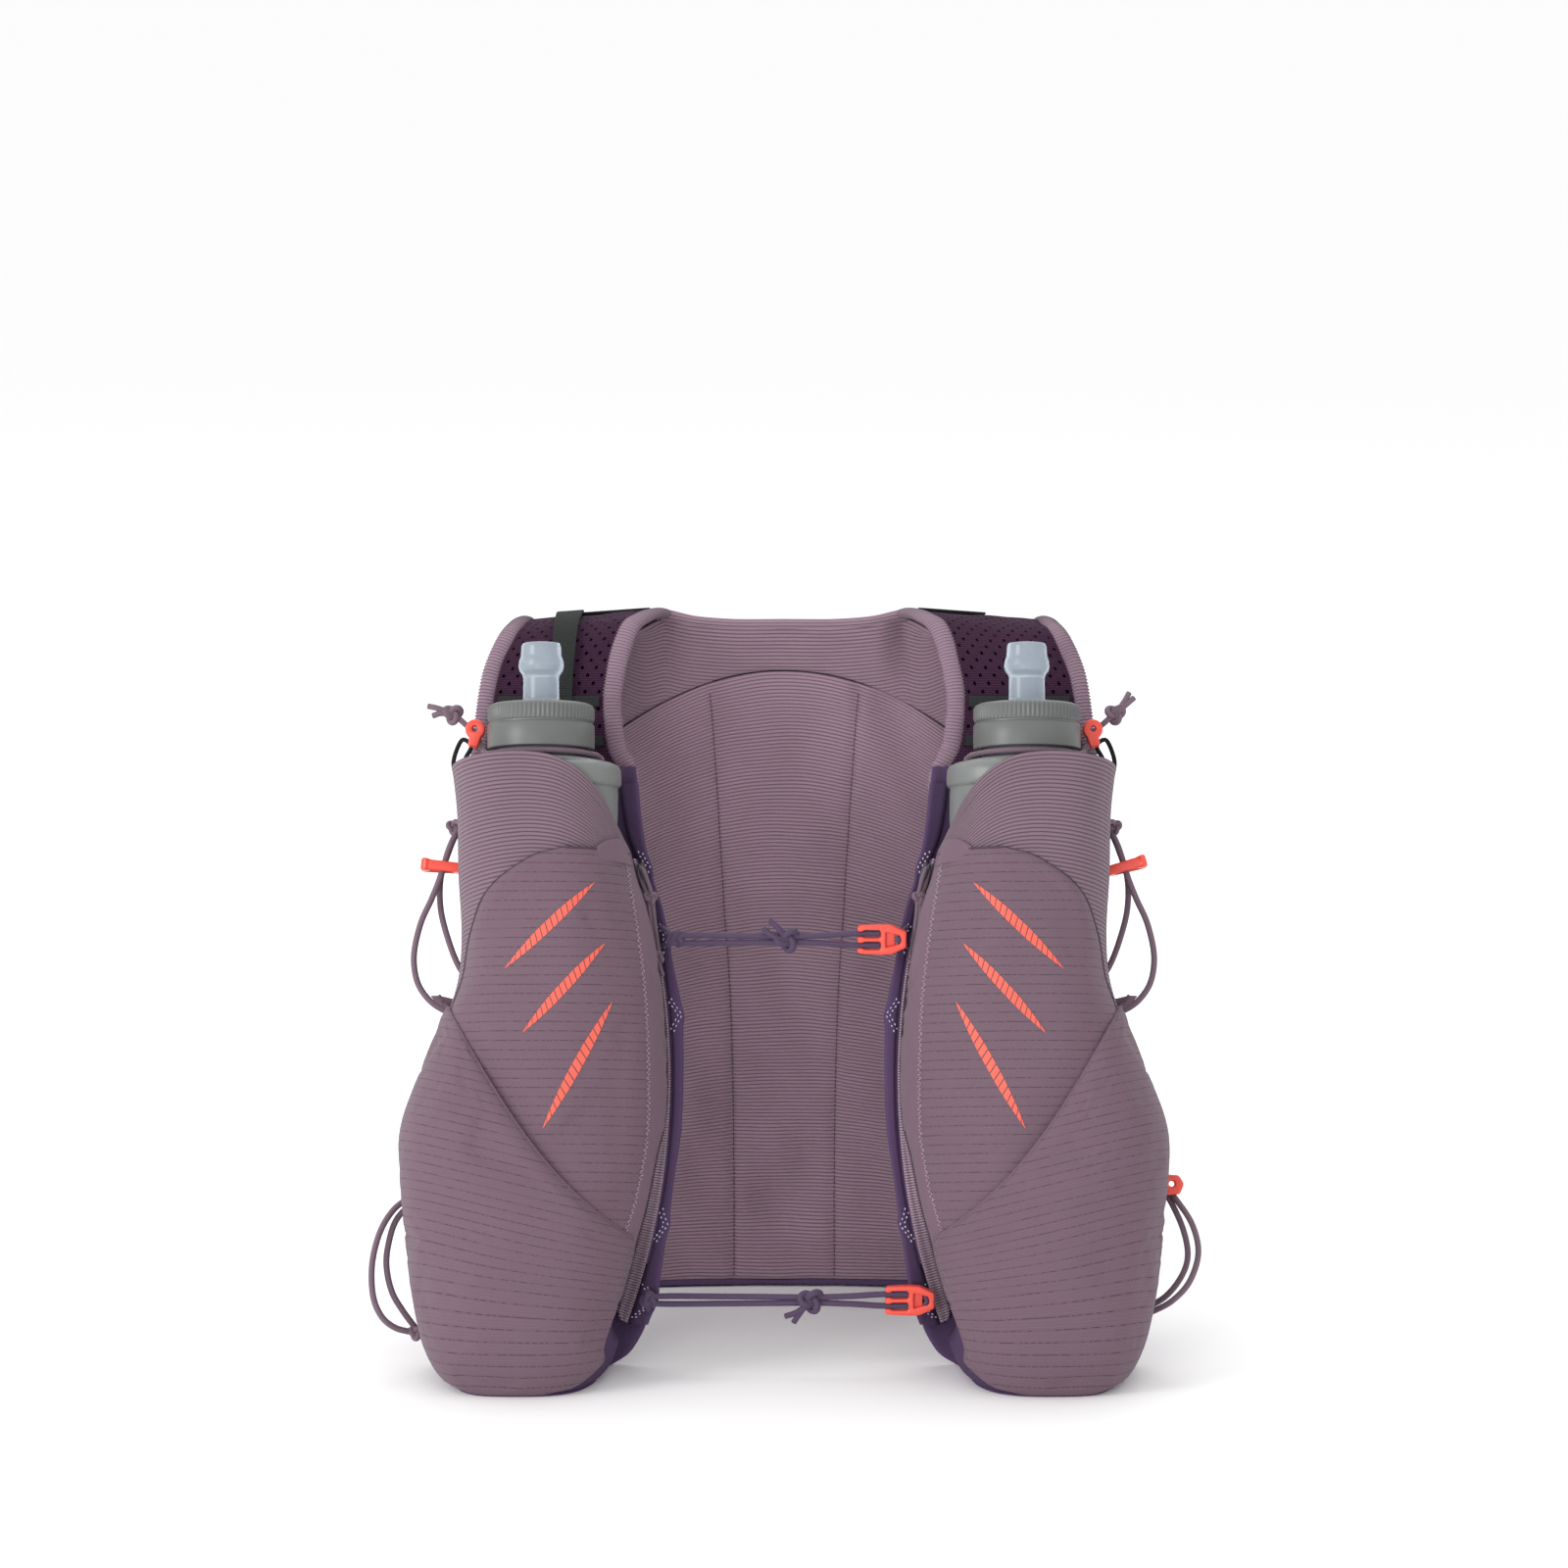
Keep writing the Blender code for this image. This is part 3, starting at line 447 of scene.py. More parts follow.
def lathe_part(side, profile, steps, squash=1.0, ripples=None):
    """A turned shape round the flask's axis; squash and ripples may depend on height and angle."""
    profile = np.asarray(profile, float)
    angle = np.linspace(0, 2 * math.pi, steps, endpoint=False)
    r, z = profile[:, :1], profile[:, 1:]
    r = r * (1 + (ripples(angle[None, :], z) if ripples else 0))
    depth = squash(z) if callable(squash) else squash
    points = world(side, r * np.cos(angle), FLASK_DEPTH + depth * r * np.sin(angle), z).reshape(-1, 3)
    run = np.concatenate([[0], np.cumsum(np.linalg.norm(np.diff(profile, axis=0), axis=1))])
    uv = stack(angle[None, :] / (2 * math.pi), run[:, None]).reshape(-1, 2)
    return points, grid_faces(len(profile), steps, wrap=True), uv


def slab(name, loops, thick, bevel=0.0005):
    """A flat moulded plate from a 2D outline and its holes, with rounded edges; its plane is XY."""
    data = bpy.data.curves.new(name, "CURVE")
    data.dimensions, data.fill_mode = "2D", "BOTH"
    data.extrude, data.bevel_depth, data.bevel_resolution = thick / 2 - bevel, bevel, 2
    data.offset = -bevel
    for loop in loops:
        spline = data.splines.new("POLY")
        spline.points.add(len(loop) - 1)
        spline.use_cyclic_u = True
        for point, (x, y) in zip(spline.points, loop):
            point.co = (x, y, 0, 1)
    curve = new_object(name + "_outline", data)
    mesh = bpy.data.meshes.new_from_object(curve.evaluated_get(bpy.context.evaluated_depsgraph_get()))
    bpy.data.objects.remove(curve)
    bm = bmesh.new()
    bm.from_mesh(mesh)
    bmesh.ops.remove_doubles(bm, verts=bm.verts, dist=1e-6)
    bmesh.ops.recalc_face_normals(bm, faces=bm.faces)
    bm.to_mesh(mesh)
    bm.free()
    mesh.shade_smooth()
    mesh.set_sharp_from_angle(angle=math.radians(40))
    return mesh


def rounded(points, radius):
    """A closed outline with its corners rounded off."""
    p = np.asarray(points, float)
    out = []
    for i, corner in enumerate(p):
        before, after = p[i - 1] - corner, p[(i + 1) % len(p)] - corner
        cut = min(radius, 0.45 * np.linalg.norm(before), 0.45 * np.linalg.norm(after))
        start, end = corner + unit(before) * cut, corner + unit(after) * cut
        for u in np.linspace(0, 1, 4):
            out.append((1 - u) ** 2 * start + 2 * u * (1 - u) * corner + u * u * end)
    return [tuple(q) for q in out]


def circle(x, y, radius, count, start=0.0, end=2 * math.pi):
    full = abs(end - start - 2 * math.pi) < 1e-6
    angles = np.linspace(start, end, count, endpoint=not full)
    return [(x + radius * math.cos(a), y + radius * math.sin(a)) for a in angles]


def place_mesh(name, mesh, origin, x_axis, y_axis):
    """An object whose mesh's X and Y run along the two directions, with its place in the mesh."""
    x_axis, y_axis = Vector(x_axis).normalized(), Vector(y_axis).normalized()
    z_axis = x_axis.cross(y_axis)
    for vert in mesh.vertices:
        x, y, z = vert.co
        vert.co = Vector(origin) + x_axis * x + y_axis * y + z_axis * z
    mesh.update()
    return new_object(name, mesh)


# ---------------------------------------------------------------- materials

def srgb(red, green, blue):
    return tuple(c / 12.92 if c <= 0.04045 else ((c + 0.055) / 1.055) ** 2.4
                 for c in (red / 255, green / 255, blue / 255))


class Paint:
    """A material's node tree, written as expressions."""

    def __init__(self, name, colour, roughness=0.9, **sockets):
        self.material = bpy.data.materials.new(name)
        self.material.use_nodes = True
        self.tree = self.material.node_tree
        self.shader = self.tree.nodes["Principled BSDF"]
        self.colour = srgb(*colour)
        self.shader.inputs["Base Color"].default_value = (*self.colour, 1)
        self.shader.inputs["Roughness"].default_value = roughness
        for label, value in sockets.items():
            self.shader.inputs[label.replace("_", " ")].default_value = value
        self.tint, self.height = None, None

    def node(self, kind, *inputs, out=0, **settings):
        made = self.tree.nodes.new(kind)
        for key, value in settings.items():
            setattr(made, key, value)
        for slot, value in enumerate(inputs):
            if value is None:
                continue
            if isinstance(value, bpy.types.NodeSocket):
                self.tree.links.new(value, made.inputs[slot])
            else:
                made.inputs[slot].default_value = value
        return made.outputs[out]

    def math(self, operation, a, b=0.5, c=0.0):
        return self.node("ShaderNodeMath", a, b, c, operation=operation)

    def fabric(self):
        """The fabric's own two coordinates, in metres."""
        split = self.tree.nodes.new("ShaderNodeSeparateXYZ")
        self.tree.links.new(self.node("ShaderNodeUVMap", uv_map="fabric"), split.inputs[0])
        return split.outputs[0], split.outputs[1]

    def place(self):
        return self.node("ShaderNodeTexCoord", out=3)

    def wave(self, at, pitch):
        """1 at every whole pitch, 0 halfway between."""
        turn = self.math("MULTIPLY", at, 2 * math.pi / pitch)
        return self.math("MULTIPLY_ADD", self.math("COSINE", turn), 0.5, 0.5)

    def groove(self, at, pitch, sharp):
        """1 in a narrow line once every pitch, 0 between."""
        return self.math("POWER", self.wave(at, pitch), sharp)

    def noise(self, scale, detail, at=None):
        made = self.tree.nodes.new("ShaderNodeTexNoise")
        self.tree.links.new(at or self.place(), made.inputs["Vector"])
        made.inputs["Scale"].default_value = scale
        made.inputs["Detail"].default_value = detail
        return made.outputs[0]

    def shade(self, amount, mask):
        """Darkens (amount < 0) or lightens the colour where the mask is 1."""
        factor = self.math("MULTIPLY_ADD", mask, amount, 1.0)
        self.tint = factor if self.tint is None else self.math("MULTIPLY", self.tint, factor)

    def raise_by(self, amount, mask):
        part = self.math("MULTIPLY", mask, amount)
        self.height = part if self.height is None else self.math("ADD", self.height, part)

    def done(self, distance=0.001, strength=1.0):
        if self.tint is not None:
            scaled = self.node("ShaderNodeVectorMath", self.colour, operation="SCALE")
            self.tree.links.new(self.tint, scaled.node.inputs["Scale"])
            self.tree.links.new(scaled, self.shader.inputs["Base Color"])
        if self.height is not None:
            bump = self.tree.nodes.new("ShaderNodeBump")
            bump.inputs["Strength"].default_value = strength
            bump.inputs["Distance"].default_value = distance
            self.tree.links.new(self.height, bump.inputs["Height"])
            self.tree.links.new(bump.outputs[0], self.shader.inputs["Normal"])
        return self.material


def soft_cloth(paint):
    """What every fabric here has: slow colour drift and a fine thread grain."""
    paint.shade(0.10, paint.math("SUBTRACT", paint.noise(35, 3), 0.5))
    fleck = paint.math("SUBTRACT", paint.noise(2600, 2), 0.5)
    paint.shade(0.22, fleck)
    paint.raise_by(0.10, fleck)


MAUVE, INDIGO = (106, 85, 97), (82, 64, 94)
CLOTH = {"Specular_IOR_Level": 0.22, "Sheen_Weight": 0.10, "Sheen_Roughness": 0.5}
DARK_CLOTH = {"Specular_IOR_Level": 0.08, "Sheen_Weight": 0.02, "Sheen_Roughness": 0.5}


def pinline_skin(name):
    """Light knit with broken dark pin lines and fine ribs between them."""
    paint = Paint(name, MAUVE, 0.88, **CLOTH)
    across, level = paint.fabric()
    line = paint.groove(level, PIN_PITCH, 90)
    row = paint.math("SNAP", paint.math("ADD", level, PIN_PITCH / 2), PIN_PITCH)

    def broken(scale, row_stretch, share):
        """1 along parts of each pin line, chosen anew for every row."""
        at = paint.node("ShaderNodeCombineXYZ", across, paint.math("MULTIPLY", row, row_stretch), 0.0)
        return paint.math("GREATER_THAN", paint.noise(scale, 0, at), share)

    dash = paint.math("MULTIPLY", broken(620, 37.0, 0.47), broken(70, 91.0, 0.36))
    paint.shade(-0.26, line)
    paint.shade(-0.60, paint.math("MULTIPLY", line, dash))
    ribs = paint.wave(level, PIN_PITCH / 4)
    paint.shade(0.07, paint.math("SUBTRACT", ribs, 0.5))
    paint.shade(0.08, paint.math("SUBTRACT", paint.wave(across, 0.0007), 0.5))
    soft_cloth(paint)
    paint.raise_by(0.10, ribs)
    paint.raise_by(-0.12, line)
    return paint.done()


def mesh_skin(name, colour):
    """Spacer mesh: rows of small bright specks on a dark ground."""
    pitch = 0.0012
    paint = Paint(name, colour, 0.85, **DARK_CLOTH)
    across, up = paint.fabric()
    lean = paint.math("MULTIPLY_ADD", up, 0.5, across)
    speck = paint.math("MULTIPLY", paint.wave(lean, pitch), paint.wave(up, pitch * 0.9))
    paint.shade(1.9, paint.math("SUBTRACT", speck, 0.22))
    soft_cloth(paint)
    paint.raise_by(0.4, speck)
    return paint.done()


def rib_skin(name, colour, pitch, dark, dotted=0.0):
    """Rib knit: rounded ribs with dark lines between, dotted with small needle holes."""
    paint = Paint(name, colour, 0.9, **CLOTH)
    across, up = paint.fabric()
    line = paint.groove(up, pitch, 7)
    paint.shade(dark, line)
    if dotted:
        hole = paint.math("GREATER_THAN", paint.wave(across, 0.0011), 0.5)
        paint.shade(-dotted, paint.math("MULTIPLY", line, hole))
    paint.shade(0.07, paint.math("SUBTRACT", paint.wave(across, 0.0006), 0.5))
    soft_cloth(paint)
    paint.raise_by(-0.45, line)
    return paint.done()


def weave_skin(name, colour, pitch, depth, cloth=CLOTH):
    """Plain weave: threads both ways."""
    paint = Paint(name, colour, 0.85, **cloth)
    across, up = paint.fabric()
    weave = paint.math("MULTIPLY", paint.wave(across, pitch), paint.wave(up, pitch))
    paint.shade(0.20, paint.math("SUBTRACT", weave, 0.3))
    soft_cloth(paint)
    paint.raise_by(depth, weave)
    return paint.done()


def cord_skin(name, colour):
    """Braided cover: two sets of strands that wind opposite ways."""
    paint = Paint(name, colour, 0.7, **CLOTH)
    around, length = paint.fabric()
    turn = paint.math("MULTIPLY", around, 6.0)
    run = paint.math("MULTIPLY", length, 1 / 0.0026)
    one = paint.wave(paint.math("ADD", turn, run), 1.0)
    two = paint.wave(paint.math("SUBTRACT", turn, run), 1.0)
    braid = paint.math("MAXIMUM", one, two)
    paint.shade(0.16, paint.math("SUBTRACT", braid, 0.7))
    paint.raise_by(0.12, braid)
    paint.shade(0.10, paint.math("SUBTRACT", paint.noise(900, 2), 0.5))
    return paint.done()


def plastic_skin(name, colour, roughness, grain=0.06, **sockets):
    paint = Paint(name, colour, roughness, **sockets)
    paint.shade(grain, paint.math("SUBTRACT", paint.noise(60, 3), 0.5))
    paint.raise_by(0.02, paint.noise(1400, 1))
    return paint.done(0.0006, 0.5)


SKINS = {
    "zip_pocket": pinline_skin("zip_pocket_knit"),
    "stretch_pocket": pinline_skin("stretch_pocket_knit"),
    "sleeve": rib_skin("sleeve_rib_knit", (121, 100, 112), RIB_PITCH, -0.42, 0.30),
    "yoke": rib_skin("yoke_rib_knit", (138, 114, 127), BACK_RIB, -0.30, 0.12),
    "back": rib_skin("back_rib_knit", (149, 123, 137), BACK_RIB, -0.36, 0.12),
    "binding": rib_skin("binding_rib", (146, 122, 137), 0.00165, -0.50),
    "placket": weave_skin("placket_weave", INDIGO, 0.0009, 0.10, DARK_CLOTH),
    # The placket's indigo painted darker for the foot cup and sole: painted shade.
    "foot": weave_skin("foot_weave_painted_shade", (74, 56, 86), 0.0009, 0.10, DARK_CLOTH),
    "tape": weave_skin("tape_weave", (110, 87, 101), 0.0006, 0.05),
    "bag": pinline_skin("bag_ripstop"),
    "strap": mesh_skin("strap_spacer_mesh", (58, 34, 55)),
    "foam": weave_skin("strap_lining", (24, 13, 24), 0.0015, 0.25, DARK_CLOTH),
    "webbing": weave_skin("charcoal_webbing", (50, 53, 52), 0.0011, 0.5, DARK_CLOTH),
    "cord": cord_skin("elastic_cord_braid", (110, 91, 103)),
    "sternum": cord_skin("sternum_cord_braid", (78, 62, 87)),
    "coil": rib_skin("zip_coil_rib", (162, 139, 155), COIL_RIB, -0.60),
    "zip_thread": plastic_skin("zip_seam_thread", (164, 142, 156), 0.7),
    "back_thread": plastic_skin("back_seam_thread", (92, 73, 85), 0.8),
    # Painted shadow line along the zip pocket's arched seam.
    "arch_shadow_thread": plastic_skin("seam_shadow_thread", (66, 51, 62), 0.8),
    "white_thread": plastic_skin("white_thread", (206, 200, 220), 0.6),
    "coral": plastic_skin("coral_plastic", (232, 74, 58), 0.36, 0.05, Coat_Weight=0.15),
    "print": plastic_skin("coral_print", (226, 92, 74), 0.6),
    "cap": plastic_skin("cap_plastic", (94, 96, 95), 0.40, 0.05),
    "flask": plastic_skin("flask_film", (140, 144, 142), 0.30, 0.05, Transmission_Weight=0.35, IOR=1.4),
    "valve": plastic_skin("valve_silicone", (212, 225, 236), 0.22, 0.03, Transmission_Weight=0.7, IOR=1.35),
    "slider": plastic_skin("slider_metal", (70, 66, 76), 0.4, 0.05, Metallic=0.6),
}


# ---------------------------------------------------------------- fabric patches

def cubic_weights(at, count):
    """Weights that read smooth values at 0..1 off `count` even samples."""
    place = np.clip(at, 0, 1) * (count - 1)
    i = np.minimum(place.astype(int), count - 2)
    u = place - i
    parts = (
        -u + 2 * u ** 2 - u ** 3, 2 - 5 * u ** 2 + 3 * u ** 3,
        u + 4 * u ** 2 - 3 * u ** 3, u ** 3 - u ** 2,
    )
    weights = np.zeros((len(at), count))
    for beside, part in zip((-1, 0, 1, 2), parts):
        np.add.at(weights, (np.arange(len(at)), np.clip(i + beside, 0, count - 1)), part / 2)
    return weights


def puff(points, flip, grow):
    """How far outwards a cloth simulation swells a grid of points that is held at its border."""
    pressure, cap, frames = 4.0, 0.0035, 20
    rows, columns = points.shape[:2]
    obj = new_object("puff", mesh_from("puff", points.reshape(-1, 3), grid_faces(rows, columns, flip)))
    held = obj.vertex_groups.new(name="held")
    border = [i * columns + j for i in range(rows) for j in range(columns)
              if i in (0, rows - 1) or j in (0, columns - 1)]
    held.add(border, 1.0, "REPLACE")
    modifier = obj.modifiers.new("cloth", "CLOTH")
    cloth = modifier.settings
    cloth.quality, cloth.mass = 6, 0.2
    cloth.tension_stiffness = cloth.compression_stiffness = 18
    cloth.shear_stiffness, cloth.bending_stiffness = 6, 0.25
    cloth.vertex_group_mass = "held"
    cloth.use_pressure, cloth.uniform_pressure_force = True, pressure
    cloth.shrink_min = cloth.shrink_max = -grow
    cloth.effector_weights.gravity = 0
    modifier.point_cache.frame_end = frames
    scene = bpy.context.scene
    for number in range(1, frames + 1):
        scene.frame_set(number)
    settled = obj.evaluated_get(bpy.context.evaluated_depsgraph_get()).data
    moved = np.zeros(rows * columns * 3)
    settled.vertices.foreach_get("co", moved)
    bpy.data.objects.remove(obj)
    scene.frame_set(1)
    normal = unit(np.cross(np.gradient(points, axis=1), np.gradient(points, axis=0))) * (-1 if flip else 1)
    out = ((moved.reshape(points.shape) - points) * normal).sum(axis=2, keepdims=True)
    return normal * cap * np.tanh(np.maximum(out, 0) / cap)


def fine_from(move, rows, columns):
    """A coarse grid of movements read at finer row and column shares."""
    down, over = cubic_weights(rows, move.shape[0]), cubic_weights(columns, move.shape[1])
    return np.einsum("ri,ijk,cj->rck", down, move, over)


def pin_levels(low, high):
    """Row heights: a groove at every pin line and the flat between."""
    lines = np.arange(math.floor(low / PIN_PITCH), math.ceil(high / PIN_PITCH) + 1) * PIN_PITCH
    rows = (lines[:, None] + np.array([-0.0005, 0.0, 0.0005, PIN_PITCH / 2])).ravel()
    inside = rows[(rows > low + 0.0003) & (rows < high - 0.0003)]
    return np.concatenate([[low], inside, [high]])


def pin_groove(level):
    off = level - np.round(level / PIN_PITCH) * PIN_PITCH
    return -0.00007 * np.exp(-(off / 0.0003) ** 2)


def patch(levels, share, left, right, slope=None):
    """(t, z) on fabric whose rows run at even levels; left and right give t at a height."""
    level = levels[:, None]
    t = np.zeros((len(levels), 1)) + share[None, :] * 0
    z = level + t
    for _ in range(25):
        t = mix(left(z), right(z), share[None, :])
        z = level - (slope(z) * t if slope else 0.0)
    return t, z


def soft(distance, width):
    """Rises from 0 at an edge to 1, round as a folded hem."""
    u = 1 - np.clip(distance / width, 0, 1)
    return np.sqrt(1 - u * u)


def run_across(points):
    """Distance along each row, from the row's middle."""
    gaps = np.linalg.norm(np.diff(points, axis=1), axis=2)
    total = np.concatenate([np.zeros((len(points), 1)), np.cumsum(gaps, axis=1)], axis=1)
    return total - total[:, points.shape[1] // 2, None]


def shift(points, flip, amount):
    """Moves a grid of points along its own outward normals."""
    normal = unit(np.cross(np.gradient(points, axis=1), np.gradient(points, axis=0)))
    return points + normal * (-1 if flip else 1) * np.asarray(amount)[..., None]


def spread_ends(count, power=3.0):
    """Shares from 0 to 1 that crowd together at both ends."""
    u = np.linspace(-1, 1, count)
    return 0.5 + 0.5 * np.sign(u) * (1 - (1 - np.abs(u)) ** power)


def tree_of(obj):
    mesh = obj.data
    return BVHTree.FromPolygons([v.co for v in mesh.vertices], [tuple(p.vertices) for p in mesh.polygons])


def lay(tree, side, ts, zs, lift=0.0):
    """Points on a surface straight behind (t, z) of a panel, lifted off it, and its normals."""
    ahead = Vector((0, UP.z, -UP.y))
    points, normals = [], []
    for t, z in zip(ts, zs):
        start = Vector(world(side, t, -0.14, z))
        hit, normal, _, _ = tree.ray_cast(start, ahead)
        if hit is None:
            continue
        if normal.dot(ahead) > 0:
            normal = -normal
        points.append(hit + normal * lift)
        normals.append(normal)
    return np.array(points), np.array(normals)


def panel_sheet(name, part, side, points, down, thick, skin, replaced=()):
    """A sheet of cloth on a front panel; down is each row's place along the fabric."""
    obj = sheet(f"{name}_{part}", points, stack(run_across(points), down), thick, side > 0)
    return finish_mesh(obj, f"{name}_front", skin, [f"{name}_{node}" for node in replaced])


def panel_piece(name, part, parts, skin, replaced=()):
    """Cords, seams or stitches on a front panel, as one piece."""
    obj = joined(f"{name}_{part}", parts)
    return finish_mesh(obj, f"{name}_front", skin, [f"{name}_{node}" for node in replaced])


def back_piece(name, parts, skin, replaced=()):
    return finish_mesh(joined(name, parts), "back", skin, replaced)


# ---------------------------------------------------------------- front panel: fabric

DIAGONAL_T = (float(along(OUTER, 0.176)), 0.0460)


def coil_width(z):
    return along(COIL_WIDTH, z)


def pocket_edge(z):
    """t where the front of the pockets ends beside the zip."""
    return zip_t(z) - coil_width(z) - 0.0004


def coil_y(t, z):
    """The zip stands off the panel where its slider runs and lies on it below."""
    return mix(panel_face(t) - 0.0034, 0.0088, step(0.050, 0.100, z))


def with_flank(points, target, columns, left=False):
    """Carries one edge column of a grid back to a line of target points."""
    edge = points[:, :1] if left else points[:, -1:]
    share = np.linspace(0, 1, columns + 1)[1:]
    extra = edge + (target[:, None] - edge) * share[None, :, None]
    return np.concatenate([extra[:, ::-1], points] if left else [points, extra], axis=1)


def panel_edge(side, z, floor=False):
    """Points on the panel's outer rim, where the pockets are sewn to it."""
    t = along(OUTER, z) - 0.0003
    return world(side, t, panel_face(t) + PANEL_BACK, z, floor)


def diagonal_z(t):
    u = (t - DIAGONAL_T[0]) / (DIAGONAL_T[1] - DIAGONAL_T[0])
    return mix(DIAGONAL_OUTER, DIAGONAL_INNER, u) - DIAGONAL_SAG * np.sin(math.pi * np.clip(u, 0, 1))


def diagonal_t(z):
    ts = np.linspace(DIAGONAL_T[0] - 0.02, DIAGONAL_T[1] + 0.02, 120)
    return np.interp(z, diagonal_z(ts)[::-1], ts[::-1])


def base_panel(name, side):
    """The indigo panel behind the pockets, its edges rolled."""
    rise, share = np.linspace(0, 1, 90) ** 1.3, spread_ends(44, 2.0)
    z = 0.294 * rise[:, None] + 0 * share
    inner = along(PANEL_INNER, z) + ladder_bumps(z)
    t = mix(along(PANEL_OUTER, z), inner, share)
    edge = soft(np.minimum(share, 1 - share) * 0.1, 0.004) * soft((0.2945 - z), 0.004)
    y = panel_face(t) + 0.0025 - 0.0022 * edge + 0.0003 * ripple(3 + side, t, z, 0.05)
    points = world(side, t, y, z, floor=True)
    thick = 0.0008 + 0.0040 * edge.mean()
    obj = sheet(f"{name}_base_panel", points, stack(run_across(points), z), thick, side > 0)
    keep_off_floor(obj)
    finish_mesh(obj, f"{name}_front", "placket", [f"{name}_harness_panel"])


def sleeve(name, side):
    """The flask's rib-knit pocket: ribs bend with its slanting mouth."""
    low = 0.150
    count = int((0.295 - low) / RIB_PITCH)
    rise = (np.arange(count * 4 + 1) / (count * 4))[:, None]
    s = (2 * spread_ends(84, 2.6) - 1)[None, :]
    z = low + (along(MOUTH, s) - low) * rise
    z = z - 0.012 * (1 - rise) * np.clip(-s, 0, 1) ** 1.5
    t = mix(along(OUTER, z), along(INNER, z), (s + 1) / 2)
    below = along(MOUTH, s) - z
    fold = 0.0007 * np.clip(1 - below / 0.0065, 0, 1) ** 0.2 * (below < 0.0065)
    rib = 0.00020 * (1 - np.abs(np.cos(math.pi * rise * count)) ** 6)
    drape = 0.0009 * ripple(11 + side, t, z, 0.055, stretch=2.2) * soft(1 - np.abs(s), 0.3)
    hem = -0.0007 * np.exp(-((t - along(OUTER, z) - 0.0047) / 0.0006) ** 2) * step(0.250, 0.262, z)
    covered = step(0, 0.004, t - zip_left(z)) * step(0, 0.003, 0.2490 - z)
    sunk = 0.0022 * covered + 0.0040 * step(0.0, 0.006, diagonal_z(t) - 0.001 - z)
    points = world(side, t, dome(t, z, 0.0004 + fold + rib + drape + hem - sunk), z)
    points = with_flank(points, panel_edge(side, z[:, 0]), 3, left=True)
    inner = along(INNER, z[:, -1]) + 0.0003
    points = with_flank(points, world(side, inner, panel_face(inner) + 0.0016, z[:, -1]), 3)
    down = rise * count * RIB_PITCH
    panel_sheet(name, "sleeve", side, points, down, 0.0012, "sleeve", ["flask_pocket"])


def zip_left(z):
    return np.maximum(along(ZIP_POCKET_OUTER, z), diagonal_t(np.minimum(z, 0.176)) - 0.014)


def low_offset(side, t, z):
    """How far the low pocket's face stands off the dome."""
    edge = soft(diagonal_t(z) - t, 0.010)
    full = 0.0050 + 0.0042 * edge + 0.0026 * np.exp(-((z - 0.085) / 0.045) ** 2 - ((t + 0.012) / 0.035) ** 2)
    folds = 0.0013 * ripple(31 + side, t, z + 0.5 * t, 0.07, stretch=2.4) * step(0.0, 0.03, z) * edge
    side_in = soft(np.minimum(t - along(OUTER, z), along(INNER, z) - t) + 0.0002, 0.015)
    return (full + folds) * side_in * mix(0.6, 1.0, step(0.0, 0.02, z))


def zip_pocket(name, side):
    """The padded front pocket under an arched seam, with a smooth band beside its zip."""
    low, high = 0.058, 0.2495

    def place(levels, u):
        share = 1 - (1 - u) ** 2.4
        t, z = patch(levels, share, zip_left, pocket_edge)
        edge = soft(np.minimum(t - zip_left(z), high + 0.0015 - z), 0.0075)
        near_zip = step(0.020, 0.0, zip_t(z) - t)
        offset = 0.0004 + 0.0034 * edge * (1 - 0.75 * near_zip)
        offset += 0.0011 * ripple(21 + side, t, z, 0.06, stretch=1.6) * edge * (1 - near_zip)
        return t, z, offset

    t, z, offset = place(np.linspace(low, high, 64), np.linspace(0, 1, 40))
    free = step(0.0, 0.030, z - diagonal_z(t)) * step(0.2450, 0.2200, z)
    move = puff(world(side, t, dome(t, z, offset), z), side > 0, 0.015) * free[..., None]
    levels, u = pin_levels(low, high), np.linspace(0, 1, 92)
    t, z, offset = place(levels, u)
    beside = np.clip((t - along(THREAD_LINE, z)) / 0.0012, -1, 1)
    points = world(side, t, dome(t, z, offset), z) + fine_from(move, (levels - low) / (high - low), u)
    groove = pin_groove(z) * (beside < 0) - 0.0005 * (1 - beside ** 2)
    points = shift(points, side > 0, groove)
    # A dark thread along the arched seam: a painted shadow line where the pocket stands off the sleeve.
    arch = np.concatenate([points[levels > 0.168, 0], points[-1, 1:-14]])
    arch = arch - unit(np.array([0, UP.z, -UP.y])) * 0.0001
    seam = tube_parts(even_path(smooth_path(arch[::3], 3), 0.0012), 0.00055, 8)
    panel_piece(name, "arch_seam_shadow", [seam], "arch_shadow_thread")
    edge = pocket_edge(levels) + 0.0003
    points = with_flank(points, world(side, edge, coil_y(edge, levels) + 0.0006, levels), 4)
    obj = panel_sheet(name, "zip_pocket_cover", side, points, levels[:, None], 0.0010,
                      "zip_pocket", ["zip_pocket"])
    obj.data.materials.append(SKINS["tape"])
    columns = points.shape[1]
    band = np.concatenate([beside > 0, np.ones((len(levels), 4), bool)], axis=1).ravel()
    for polygon in obj.data.polygons:
        if polygon.index < (len(levels) - 1) * (columns - 1) and band[polygon.vertices[0]]:
            polygon.material_index = 1
    return obj


